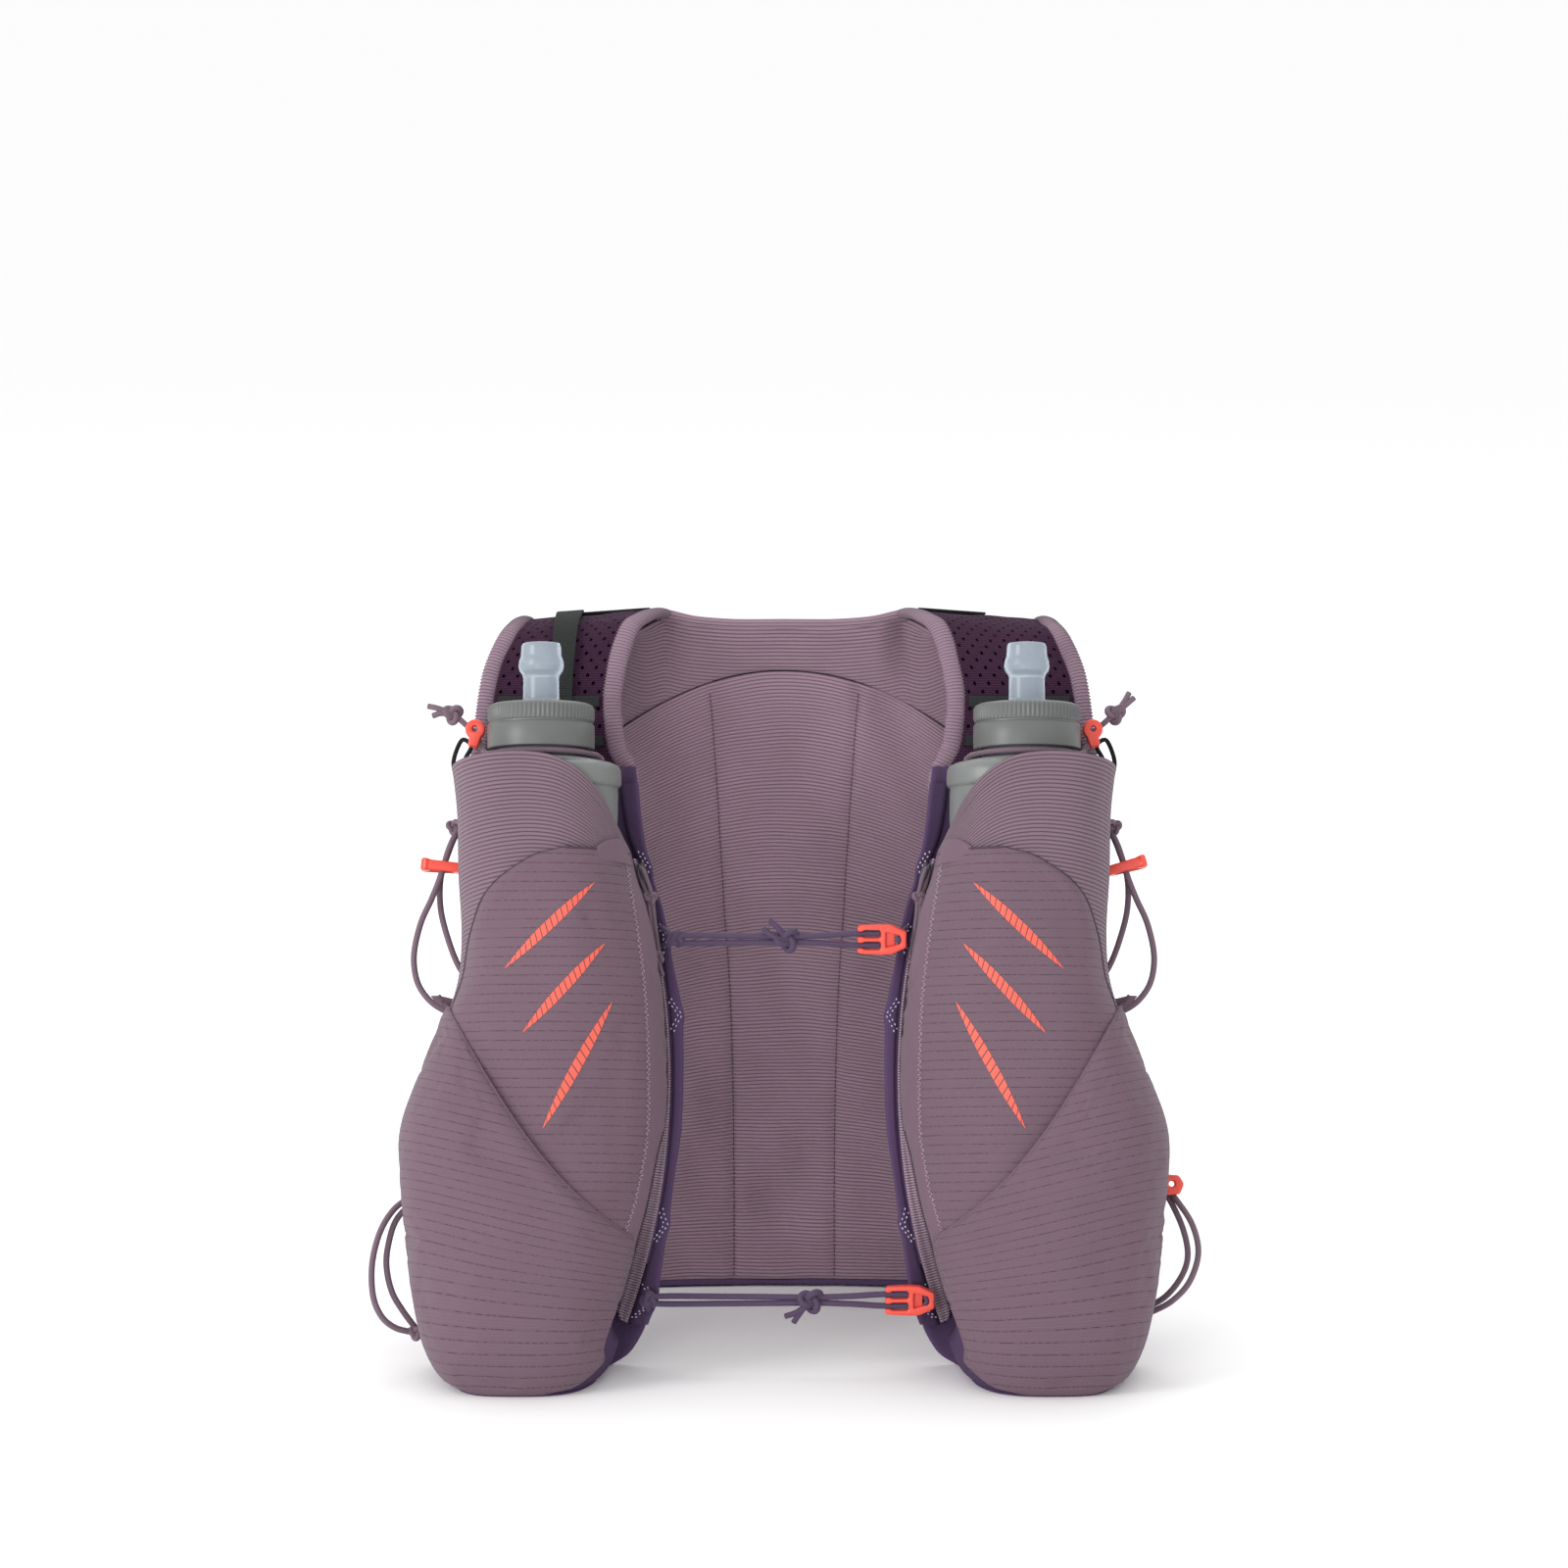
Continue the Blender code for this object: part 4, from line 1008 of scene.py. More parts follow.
def zip_garage(name, side):
    """Small flap of smooth cloth over the zip's top end."""
    t = np.linspace(0.0275, 0.0442, 20)[None, :]
    top = along(((0.0275, 0.2505), (0.0330, 0.2545), (0.0395, 0.2556), (0.0425, 0.2510), (0.0442, 0.2445)), t)
    z = mix(0.2440, top, np.linspace(0, 1, 14)[:, None])
    edge = soft(np.minimum(np.minimum(t - 0.0275, 0.0442 - t), top - z) + 0.0002, 0.002)
    y = dome(np.minimum(t, along(INNER, z) - 0.0008), z, 0.0022 + 0.0012 * edge)
    points = world(side, t, y, z)
    panel_sheet(name, "zip_garage", side, points, z, 0.0012, "tape")


def stretch_pocket(name, side):
    """The low pocket: full at the belly, its mouth cut on a sagging diagonal."""
    low, high = 0.0, 0.1712

    def slope(z):
        return 0.24 * step(0.012, 0.075, z)

    def right(z):
        return np.minimum(along(LOW_RIGHT, z), diagonal_t(z))

    def place(levels, u):
        share = 0.5 + 0.5 * np.sign(u - 0.5) * (1 - (1 - np.abs(2 * u - 1)) ** 2.6)
        t, z = patch(levels, share, lambda z: along(OUTER, z), right, slope)
        return t, z, low_offset(side, t, z)

    t, z, offset = place(np.linspace(low, high, 60), np.linspace(0, 1, 44))
    move = puff(world(side, t, dome(t, z, offset), z, True), side > 0, 0.02)
    levels, u = pin_levels(low, high), np.linspace(0, 1, 104)
    t, z, offset = place(levels, u)
    points = world(side, t, dome(t, z, offset), z, True) + fine_from(move, (levels - low) / (high - low), u)
    points = shift(points, side > 0, pin_groove(levels[:, None] + 0 * t))
    mouth = smooth_path(even_path(points[z[:, -1] > 0.0645, -1], 0.0045), 6)
    points = with_flank(points, panel_edge(side, z[:, 0], True), 3, left=True)
    right_t, right_z = t[:, -1], z[:, -1]
    beside_zip = (right_z < 0.0640) & (right_z > 0.0360)
    beside = world(side, right_t + 0.0003, coil_y(right_t, right_z) + 0.0006, right_z, True)
    tucked_t = right_t - 0.0035
    inside = world(side, tucked_t, dome(tucked_t, right_z, offset[:, -1] - 0.0022), right_z, True)
    points = with_flank(points, np.where(beside_zip[:, None], beside, inside), 4)
    points[..., 2] = np.maximum(points[..., 2], 0.0004)
    panel_sheet(name, "low_pocket", side, points, levels[:, None], 0.0010,
                "stretch_pocket", ["stretch_pocket"])
    rim = tube_parts(even_path(mouth, 0.0012), 0.0009, 10)
    panel_piece(name, "low_pocket_mouth", [rim], "tape")


def foot_cup(name, side):
    """Indigo foot: the corner beside the low pocket and the sole under it, in a darker copy of the placket's
    indigo: painted shade.
    """
    z, share = np.linspace(0, 0.036, 30)[:, None], np.linspace(0, 1, 20)[None, :]
    left = along(LOW_RIGHT, z) - 0.005
    right = mix(along(INNER, z), pocket_edge(z) + 0.0003, step(0.014, 0.026, z))
    t = mix(left, np.maximum(right, left + 0.001), share)
    points = world(side, t, dome(t, z, low_offset(side, t, z) - 0.0007), z, True)
    end = t[:, -1] + 0.0003
    points = with_flank(points, world(side, end, panel_face(end) + 0.0010, z[:, 0], True), 4)
    points[..., 2] = np.maximum(points[..., 2], 0.0006)
    panel_sheet(name, "foot_cup", side, points, z, 0.0010, "foot")
    t = mix(-0.0420, 0.0285, np.linspace(0, 1, 40))[None, :]
    back = panel_face(t) + PANEL_BACK
    y = mix(back, dome(t, 0, low_offset(side, t, 0 * t) - 0.0004), np.linspace(0, 1, 12)[:, None])
    points = world(side, t, y, 0, True) + np.array([0, 0, 0.0003])
    sole = sheet(f"{name}_sole", points, stack(t, y), 0.0010, side < 0)
    finish_mesh(sole, f"{name}_front", "foot")


def placket(name, side):
    """The indigo edge of the vest, between the zip and the panel's rolled edge."""
    z = np.linspace(0.026, 0.286, 120)[:, None]
    share = spread_ends(12, 2.0)[None, :]
    outer = np.where(z < ZIP_TURN, zip_t(np.minimum(z, ZIP_TURN)) + 0.0008, along(PLACKET_OUTER, z))
    t = mix(outer, along(PANEL_INNER, z) + 0.0006 + ladder_bumps(z), share)
    edge = soft(np.minimum(share, 1 - share), 0.25)
    y = panel_face(t) - 0.0014 - 0.0022 * edge - 0.0002 * ripple(41, t, z, 0.02)
    points = world(side, t, y, z)
    band = panel_sheet(name, "placket_band", side, points, z, 0.0012,
                       "placket", ["placket"])
    z = np.linspace(0.055, 0.249, 100)
    near, far = zip_t(z) - 0.0004, np.minimum(zip_t(z) + 0.0012, along(PANEL_INNER, z))
    front = world(side, near, coil_y(near, z) + 0.0004, z)
    wall = with_flank(front[:, None], world(side, far, panel_face(far) - 0.0020, z), 4)
    panel_sheet(name, "zip_wall", side, wall, z[:, None], 0.0008, "placket")
    return band


def bartacks(name, side, tree):
    """White dotted tacks, bent like an arrowhead, that hold the ladder loops on the placket."""
    parts = []
    for middle in BARTACKS:
        for inset in (0.0, 0.0018):
            k = np.linspace(-1, 1, 40)
            zs = middle + 0.0080 * k
            inner = along(PANEL_INNER, zs) + ladder_bumps(zs)
            outer = zip_t(np.minimum(zs, ZIP_TURN)) + 0.001
            ts = mix(outer, inner, 0.90 - 0.66 * np.abs(k)) - inset
            path, normals = lay(tree, side, ts, zs)
            if len(path) > 4:
                parts += stitch_parts(path, normals, 0.0006, 0.0019, 0.00030)
    panel_piece(name, "bartacks", parts, "white_thread")


def pocket_stitches(name, side, tree):
    """The zigzag line of stitches beside the zip."""
    zs = np.linspace(0.066, 0.246, 400)
    pitch, width = 0.0026, 0.0008
    ts = along(THREAD_LINE, zs) + width * (2 * np.abs((zs / pitch) % 1 - 0.5) - 0.5) * 2
    path, normals = lay(tree, side, ts, zs)
    parts = stitch_parts(path, normals, 0.0012, 0.0010, 0.00026)
    panel_piece(name, "zip_stitches", parts, "zip_thread")


def slashes(name, side, tree):
    """Three plain tapered slashes, cut into slanting segments."""
    parts = []
    for start, end in (((-0.0148, 0.1930), (0.0264, 0.2325)), ((-0.0064, 0.1626), (0.0314, 0.2040)),
                       ((0.0030, 0.1179), (0.0350, 0.1764))):
        start, end = np.array(start), np.array(end)
        run = unit(end - start)
        over = np.array([-run[1], run[0]])
        length, count = np.linalg.norm(end - start), 17
        for k in range(count):
            u = (k + np.array([0.0, 0.28, 0.56, 0.84])) / count
            width = 0.0023 * np.minimum(1, np.sin(math.pi * np.clip(u, 0, 1)) ** 0.8 + 0.05)
            rows = []
            for w in (-1, -0.33, 0.33, 1):
                spot = start + run * (u * length + 0.0012 * w)[:, None] + over * (w * width)[:, None]
                rows.append(lay(tree, side, spot[:, 0], spot[:, 1], 0.00022)[0])
            if any(len(row) < 4 for row in rows):
                continue
            top = np.array(rows)
            below = top + np.array([0, UP.z, -UP.y]) * 0.0004
            points = np.concatenate([top.reshape(-1, 3), below.reshape(-1, 3)])
            faces = grid_faces(4, 4) + [tuple(16 + v for v in face[::-1]) for face in grid_faces(4, 4)]
            ring = [0, 1, 2, 3, 7, 11, 15, 14, 13, 12, 8, 4]
            faces += [(b, a, 16 + a, 16 + b) for a, b in zip(ring, ring[1:] + ring[:1])]
            parts.append((points, faces, points[:, [0, 2]]))
    panel_piece(name, "slashes", parts, "print")


def zip_coil(name, side):
    """The zip's ribbed coil, wider where its tape turns to the front."""
    start, end = (math.asin((z - ZIP_Z) / ZIP_RADIUS) for z in (ZIP_LOW, ZIP_HIGH))
    ribs = int(ZIP_RADIUS * (end - start) / COIL_RIB)
    rows = np.arange(ribs * 6 + 1)[:, None]
    angle = mix(start, end, rows / rows[-1])
    across = np.linspace(0, 1, 11)[None, :]
    z = ZIP_Z + ZIP_RADIUS * np.sin(angle)
    width = coil_width(z) * (0.4 + 0.6 * soft(z - ZIP_LOW, 0.006))
    radial = ZIP_RADIUS - 0.0002 - width * (1 - across)
    crown = soft(np.minimum(across, 1 - across) * width, 0.0012)
    valley = 0.0006 * np.exp(-((across - 0.5) / 0.12) ** 2) * step(0.0030, 0.0050, width)
    rib = 0.00042 * (0.5 - 0.5 * np.cos(2 * math.pi * rows / 6))
    t = ZIP_T + radial * np.cos(angle)
    y = coil_y(t, z) + 0.0006 - 0.0016 * crown + valley - rib * crown
    points = world(side, t, y, ZIP_Z + radial * np.sin(angle))
    fabric = stack(across * width, rows / 6 * COIL_RIB)
    obj = sheet(f"{name}_zip_teeth", points, fabric, 0.0012, side > 0)
    finish_mesh(obj, f"{name}_front", "coil", [f"{name}_zip_coil"])


def panel_axes(side):
    """Directions of t, y and z of a panel in the row frame."""
    return np.array([-side, 0, 0]), np.array([0, UP.z, -UP.y]), np.array([0, UP.y, UP.z])


def zip_slider(name, side):
    """Slider body with its bridge; gives the point the pull hangs from."""
    angle = math.asin((SLIDER_Z - ZIP_Z) / ZIP_RADIUS)
    t_axis, y_axis, z_axis = panel_axes(side)
    out = t_axis * math.cos(angle) + z_axis * math.sin(angle)
    ahead = -t_axis * math.sin(angle) + z_axis * math.cos(angle)
    centre = world(side, zip_t(SLIDER_Z) + 0.0004, 0.0046, SLIDER_Z)
    outline = rounded([(-0.0024, -0.0056), (0.0024, -0.0056), (0.0031, 0.0010), (0.0024, 0.0060),
                       (0.0, 0.0046), (-0.0024, 0.0060), (-0.0031, 0.0010)], 0.001)
    body = place_mesh(f"{name}_slider", slab(f"{name}_slider", [outline], 0.0032), centre, out, ahead)
    finish_mesh(body, f"{name}_zip_slider", "slider", [f"{name}_zip_slider"])
    arch = [centre + ahead * a - y_axis * b for a, b in
            ((-0.0040, 0.0012), (-0.0030, 0.0032), (0.0, 0.0041), (0.0030, 0.0032), (0.0042, 0.0012))]
    bridge = joined(f"{name}_slider_bridge", [cord_part(arch, 0.0008, 6, 8, 0.0005)])
    finish_mesh(bridge, f"{name}_zip_slider", "slider")
    return centre - y_axis * 0.0041 + z_axis * 0.001


def zip_pull(name, side, eye):
    """The knotted cord that pulls the slider, hanging from its bridge."""
    t_axis, y_axis, z_axis = panel_axes(side)
    sway = 1.0 if side < 0 else 0.8

    def at(t, y, z):
        return eye + t_axis * t * sway + y_axis * y + z_axis * z

    loop = [
        at(0.0032, 0.0004, -0.0115), at(0.0006, 0.0008, -0.0060), at(-0.0010, 0.0012, -0.0006),
        at(0.0, 0.0, 0.0016), at(0.0014, -0.0014, -0.0008), at(0.0034, -0.0012, -0.0060),
        at(0.0052, -0.0004, -0.0115),
    ]
    parts = [cord_part(loop, PULL_CORD, 8, 9)]
    for lean, end in ((-0.0009, -0.0395), (0.0010, -0.0400)):
        strand = [at(0.0043 + lean, 0, -0.0130), at(0.0052 + lean, -0.0004, -0.0220),
                  at(0.0064 + lean, 0.0003, -0.0310), at(0.0076 + lean, 0, end)]
        parts.append(cord_part(strand, PULL_CORD, 8, 9))
    parts.append(knot_part(at(0.0044, -0.0004, -0.0128), 0.0028, t_axis, z_axis, 0.0012))
    parts.append(knot_part(at(0.0080, -0.0003, -0.0412), 0.0025, t_axis + z_axis, z_axis - t_axis, 0.0011))
    for t, z in ((0.0062, -0.0512), (0.0104, -0.0500)):
        tail = [at(0.0080, 0, -0.0425), at((t + 0.008) / 2, -0.0003, -0.0468), at(t, 0, z)]
        parts.append(cord_part(tail, PULL_CORD, 6, 9))
    pull = joined(f"{name}_zip_cord", parts)
    finish_mesh(pull, f"{name}_zip_pull", "cord", [f"{name}_zip_pull"])


# ---------------------------------------------------------------- flask

def flask_depth(z):
    """How flat the flask is: squashed in the body, round at the neck."""
    return mix(FLASK_SQUASH, 1.0, step(0.2915, 0.2945, z))


def even_profile(profile, spacing):
    """A turned outline with its (radius, height) points an even distance apart."""
    return even_path(np.array([(r, z, 0) for r, z in profile]), spacing)[:, :2]


FLASK_PROFILE = (
    (0.0, 0.1180), (0.0100, 0.1186), (0.0180, 0.1198), (0.0262, 0.1262), (0.0298, 0.1370),
    (0.0310, 0.1560), (0.0333, 0.2000), (0.0358, 0.2400), (0.0368, 0.2650), (0.0370, 0.2780),
    (0.0366, 0.2806), (0.0376, 0.2811), (0.0384, 0.2818), (0.0385, 0.2850), (0.0383, 0.2888),
    (0.0372, 0.2912), (0.0340, 0.2926), (0.0290, 0.2936), (0.0225, 0.2948), (0.0212, 0.2962),
    (0.0212, 0.3150), (0.0200, 0.3160), (0.0, 0.3160),
)
CAP_PROFILE = (
    (0.0222, 0.2990), (0.0248, 0.2990), (0.0256, 0.2996), (0.0257, 0.3030), (0.0256, 0.3104),
    (0.0252, 0.3110), (0.0246, 0.3112), (0.0246, 0.3120), (0.0251, 0.3124), (0.0253, 0.3140),
    (0.0252, 0.3186), (0.0246, 0.3200), (0.0232, 0.3208), (0.0180, 0.3209), (0.0170, 0.3204),
    (0.0120, 0.3204), (0.0112, 0.3212), (0.0104, 0.3212), (0.0098, 0.3206), (0.0064, 0.3206),
    (0.0064, 0.3178), (0.0222, 0.3178), (0.0222, 0.2990),
)
VALVE_PROFILE = (
    (0.0, 0.3174), (0.0058, 0.3174), (0.0058, 0.3212), (0.0092, 0.3213), (0.0093, 0.3222),
    (0.0087, 0.3232), (0.0086, 0.3335), (0.0090, 0.3350), (0.0104, 0.3368), (0.0109, 0.3390),
    (0.0106, 0.3418), (0.0098, 0.3438), (0.0096, 0.3470), (0.0095, 0.3488), (0.0088, 0.3502),
    (0.0070, 0.3505), (0.0030, 0.3499), (0.0, 0.3496),
)


def flask(name, side):
    """The soft flask's film, with faint waves down its body."""
    def wave(angle, z):
        return 0.010 * ripple(51 + side, 0.033 * angle, z, 0.05) * step(0.279, 0.262, z)

    film = lathe_part(side, even_profile(FLASK_PROFILE, 0.0013), 96, flask_depth, wave)
    obj = joined(f"{name}_flask_film", [film])
    finish_mesh(obj, f"{name}_flask", "flask", [f"{name}_flask"])


def cap(name, side):
    """The screw cap: two tiers, the upper one knurled."""
    def knurl(angle, z):
        return 0.016 * np.cos(72 * angle) * (z > 0.3126) * (z < 0.3196)

    obj = joined(f"{name}_cap", [lathe_part(side, CAP_PROFILE, 432, 1.0, knurl)])
    finish_mesh(obj, f"{name}_cap", "cap", [f"{name}_flask_cap"])


def bite_valve(name, side):
    """The silicone valve on the cap, with the slit across its top."""
    obj = joined(f"{name}_valve", [lathe_part(side, even_profile(VALVE_PROFILE, 0.0004), 48)])
    finish_mesh(obj, f"{name}_cap", "valve", [f"{name}_bite_valve"])
    top = world(side, 0.0, FLASK_DEPTH, 0.3500)
    line = top + panel_axes(side)[0] * np.linspace(-0.005, 0.005, 9)[:, None]
    slit = joined(f"{name}_valve_slit", [tube_parts(line, 0.00045, 8)])
    finish_mesh(slit, f"{name}_cap", "cap")


def flask_bungee(name, side):
    """The elastic round the flask's neck, with its overhand knot."""
    neck = [(0.0240 * math.cos(a), FLASK_DEPTH + 0.0240 * math.sin(a), 0.2968)
            for a in np.radians(np.linspace(205, 345, 9))]
    before = [(-0.0415, 0.0030, 0.3172), (-0.0375, 0.0030, 0.3135), (-0.0330, 0.0035, 0.3095),
              (-0.0290, 0.0020, 0.3020), (-0.0262, -0.0120, 0.2976)]
    after = [(0.0262, -0.0060, 0.2972), (0.0275, 0.0100, 0.2975), (0.0280, 0.0225, 0.2980)]
    t_axis, _, z_axis = panel_axes(side)
    parts = [panel_cord(side, before + neck + after, NECK_CORD, 10)]
    knot = world(side, -0.0430, 0.0030, 0.3180)
    parts.append(knot_part(knot, 0.0042, t_axis, z_axis, 0.0015))
    ends = ((-0.0548, 0.3218), (-0.0525, 0.3172)) if side < 0 else ((-0.0520, 0.3258), (-0.0497, 0.3282))
    for t, z in ends:
        bend = world(side, (t - 0.0430) / 2 - 0.0008, 0.0020, (z + 0.3180) / 2 + 0.0006)
        parts.append(cord_part([knot, bend, world(side, t, 0.0035, z)], NECK_CORD, 8, 10))
    obj = panel_piece(name, "neck_cord", parts, "cord", ["flask_bungee"])
    tuple(world(side, 0, FLASK_DEPTH, 0.2960))
    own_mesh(obj)


def ring_toggle(name, side):
    """The coral ring toggle on the neck's elastic, and the small webbing loop at the pocket's corner."""
    t_axis, _, z_axis = panel_axes(side)
    outline = circle(0, 0.0010, 0.0048, 26, -0.9, math.pi + 0.9) + [(-0.0034, -0.0070), (0.0010, -0.0084)]
    outline = rounded(outline, 0.0006)
    mesh = slab(f"{name}_ring_toggle", [outline, circle(0, 0.0012, 0.0013, 16)], 0.0050, 0.0009)
    ring = place_mesh(f"{name}_ring_toggle", mesh, world(side, -0.0318, -0.0035, 0.3088), t_axis, z_axis)
    finish_mesh(ring, f"{name}_front", "coral", [f"{name}_bungee_toggle"])
    loop = [(-0.0425, 0.0165, 0.2900), (-0.0432, 0.0160, 0.2965), (-0.0408, 0.0150, 0.3040),
            (-0.0382, 0.0140, 0.3068), (-0.0345, 0.0130, 0.3035), (-0.0372, 0.0140, 0.2980),
            (-0.0392, 0.0160, 0.2925)]
    panel_piece(name, "corner_loop", [panel_cord(side, loop, THIN_CORD, 9)], "webbing")


# ---------------------------------------------------------------- side adjusters

UPPER_CORD_REAR = (
    (-0.0345, 0.1900), (-0.0400, 0.1973), (-0.0450, 0.2098), (-0.0488, 0.2249), (-0.0488, 0.2398),
    (-0.0447, 0.2534),
)
UPPER_CORD_FRONT = (
    (-0.0447, 0.2534), (-0.0488, 0.2398), (-0.0530, 0.2290), (-0.0581, 0.2174), (-0.0612, 0.2025),
    (-0.0597, 0.1900), (-0.0545, 0.1815), (-0.0480, 0.1765), (-0.0415, 0.1745),
)
# The lower cords' two strands, the left and the right: (t, z).
LOWER_CORD_OUTER = {
    -1: ((-0.0560, 0.0215), (-0.0610, 0.0225), (-0.0690, 0.0245), (-0.0755, 0.0300), (-0.0795, 0.0400),
         (-0.0800, 0.0550), (-0.0765, 0.0700), (-0.0700, 0.0810), (-0.0615, 0.0875)),
    1: ((-0.0520, 0.0300), (-0.0600, 0.0325), (-0.0690, 0.0375), (-0.0770, 0.0465), (-0.0812, 0.0600),
        (-0.0785, 0.0735), (-0.0715, 0.0850), (-0.0650, 0.0935)),
}
LOWER_CORD_INNER = {
    -1: ((-0.0610, 0.0850), (-0.0690, 0.0760), (-0.0725, 0.0650), (-0.0735, 0.0540), (-0.0710, 0.0420),
         (-0.0660, 0.0330), (-0.0590, 0.0235)),
    1: ((-0.0640, 0.0925), (-0.0695, 0.0830), (-0.0745, 0.0710), (-0.0765, 0.0590), (-0.0735, 0.0490),
        (-0.0660, 0.0395), (-0.0560, 0.0335)),
}


def upper_side_cord(name, side):
    """The elastic loop beside the flask pocket, with its short end and knot."""
    t_axis, _, z_axis = panel_axes(side)
    path = [(t, 0.0120, z) for t, z in UPPER_CORD_REAR] + [(-0.0410, 0.0100, 0.2620)]
    path += [(t, 0.0070, z) for t, z in UPPER_CORD_FRONT]
    end = [(-0.0375, 0.0170, 0.2560), (-0.0420, 0.0120, 0.2625), (-0.0418, 0.0060, 0.2665),
           (-0.0365, 0.0020, 0.2640)]
    parts = [panel_cord(side, path, SIDE_CORD), panel_cord(side, end, LOOP_CORD)]
    parts.append(knot_part(world(side, -0.0425, 0.0090, 0.2640), 0.0030, t_axis, z_axis, 0.0013))
    panel_piece(name, "upper_cord", parts, "cord", ["upper_side_cord"])


def side_pull(name, side):
    """The coral pull on the upper cord: a slotted tab, thicker at its grip."""
    t_axis, y_axis, z_axis = panel_axes(side)
    outline = rounded([(0.0098, -0.0058), (0.0098, 0.0058), (-0.0068, 0.0060), (-0.0080, 0.0066),
                       (-0.0104, 0.0050), (-0.0104, -0.0050), (-0.0080, -0.0066), (-0.0068, -0.0060)], 0.0016)
    slot = rounded([(-0.0052, -0.0040), (0.0052, -0.0040), (0.0052, 0.0040), (-0.0052, 0.0040)], 0.0012)
    mesh = slab(f"{name}_side_tab", [outline, slot[::-1]], 0.0046, 0.0010)
    for vert in mesh.vertices:
        vert.co.z *= 1 + 0.35 * float(step(-0.005, -0.0085, vert.co.x))
    lean = math.radians(6 if side < 0 else 16)
    down = t_axis * math.cos(lean) - z_axis * math.sin(lean)
    tab = place_mesh(f"{name}_side_tab", mesh, world(side, -0.0477, 0.0090, 0.2450), down, y_axis)
    finish_mesh(tab, f"{name}_side_pull", "coral", [f"{name}_side_pull"])


def lower_side_cord(name, side):
    """The elastic loop beside the low pocket; only the left one shows its knot."""
    parts = []
    for line, y in ((LOWER_CORD_OUTER[side], 0.0020), (LOWER_CORD_INNER[side], 0.0075)):
        bow = np.sin(np.linspace(0, math.pi, len(line)))
        parts.append(panel_cord(side, [(t, mix(0.0125, y, b), z) for (t, z), b in zip(line, bow)], SIDE_CORD))
    if side < 0:
        t_axis, _, z_axis = panel_axes(side)
        parts.append(knot_part(world(side, -0.0593, 0.0080, 0.0222), 0.0028, t_axis, z_axis, 0.0014))
    panel_piece(name, "lower_cord", parts, "cord", ["lower_side_cord"])


def low_toggle(name, side):
    """The small coral toggle on the lower cord."""
    t_axis, _, z_axis = panel_axes(side)
    spot = (-0.0600, 0.0270, 0.0900) if side < 0 else (-0.0692, 0.0060, 0.0925)
    outline = rounded([(0.0050, -0.0050), (0.0050, 0.0050), (-0.0030, 0.0046), (-0.0056, 0.0004),
                       (-0.0036, -0.0046)], 0.0014)
    mesh = slab(f"{name}_low_toggle", [outline, circle(0.0004, 0.0004, 0.0014, 14)], 0.0056, 0.0010)
    toggle = place_mesh(f"{name}_low_toggle", mesh, world(side, *spot), t_axis, z_axis)
    finish_mesh(toggle, f"{name}_front", "coral", [f"{name}_lower_side_toggle"])


# ---------------------------------------------------------------- shoulder straps

# The strap's middle line: y and z against v, which runs from 0 at the front end to STRAP_END at the back.
STRAP_Y = tuple((i / 7, y - MIDDLE_Y) for i, (y, _) in enumerate(STRAP_LINE))
STRAP_Z = tuple((i / 7, z) for i, (_, z) in enumerate(STRAP_LINE))


def strap_at(side, v, share, lift, margin=0.0):
    """Points over the shoulder: v from the front to the back, share from the inner to the outer edge."""
    v = np.asarray(v, float)
    ahead, behind = np.minimum(STRAP_END, v + 0.01), np.maximum(0, v - 0.01)
    rise = along(STRAP_Z, ahead) - along(STRAP_Z, behind)
    run = unit(stack(along(STRAP_Y, ahead) - along(STRAP_Y, behind), rise))
    x = mix(along(STRAP_INNER, v) + margin, along(STRAP_OUTER, v) - margin, share)
    tilt = mix(0.0030, -0.0010, share) * step(0.3, 0.7, v)
    y, z = along(STRAP_Y, v) - run[..., 1] * lift, along(STRAP_Z, v) + run[..., 0] * lift
    return stack(side * x, y, z + tilt)


def bend_over(obj):
    """Bakes a strap piece's place into its mesh; it is not made to follow its front panel or the back."""
    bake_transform(obj)


def holed(length, width, down, over, radius):
    """A flat sheet with staggered round holes: its 2D points, its faces and the rings round the holes."""
    rows, columns = round(length / down), round(width / over)
    h, w = length / rows, width / columns
    points, index, faces, rings = [], {}, [], []

    def vertex(a, b):
        key = (round(a, 6), round(b, 6))
        if key not in index:
            index[key] = len(points)
            points.append((a, b))
        return index[key]

    for i in range(rows):
        odd = i % 2
        for j in range(columns + odd):
            left, right = max(0, (j - 0.5 * odd) * w), min(width, (j + 1 - 0.5 * odd) * w)
            low, high, middle = i * h, (i + 1) * h, (i + 0.5) * h
            if right - left < 0.9 * w:
                inner = [vertex(middle, right)] if j == 0 else []
                outer = [vertex(middle, left)] if j > 0 else []
                lower = [vertex(low, left), vertex(low, right)]
                faces.append(lower + inner + [vertex(high, right), vertex(high, left)] + outer)
                continue
            centre = (left + right) / 2
            ends = [(middle, right), (high, right), (high, centre), (high, left), (middle, left), (low, left),
                    (low, centre), (low, right)]
            border = [vertex(*p) for p in ends]
            ring = []
            for k in range(16):
                turn = 2 * math.pi * k / 16
                ring.append(vertex(middle + radius * math.sin(turn), centre + radius * math.cos(turn)))
            for k in range(8):
                n = (k + 1) % 8
                faces.append([border[k], border[n], ring[2 * n], ring[2 * k + 1], ring[2 * k]])
            rings.append(ring)
    return np.array(points), faces, rings


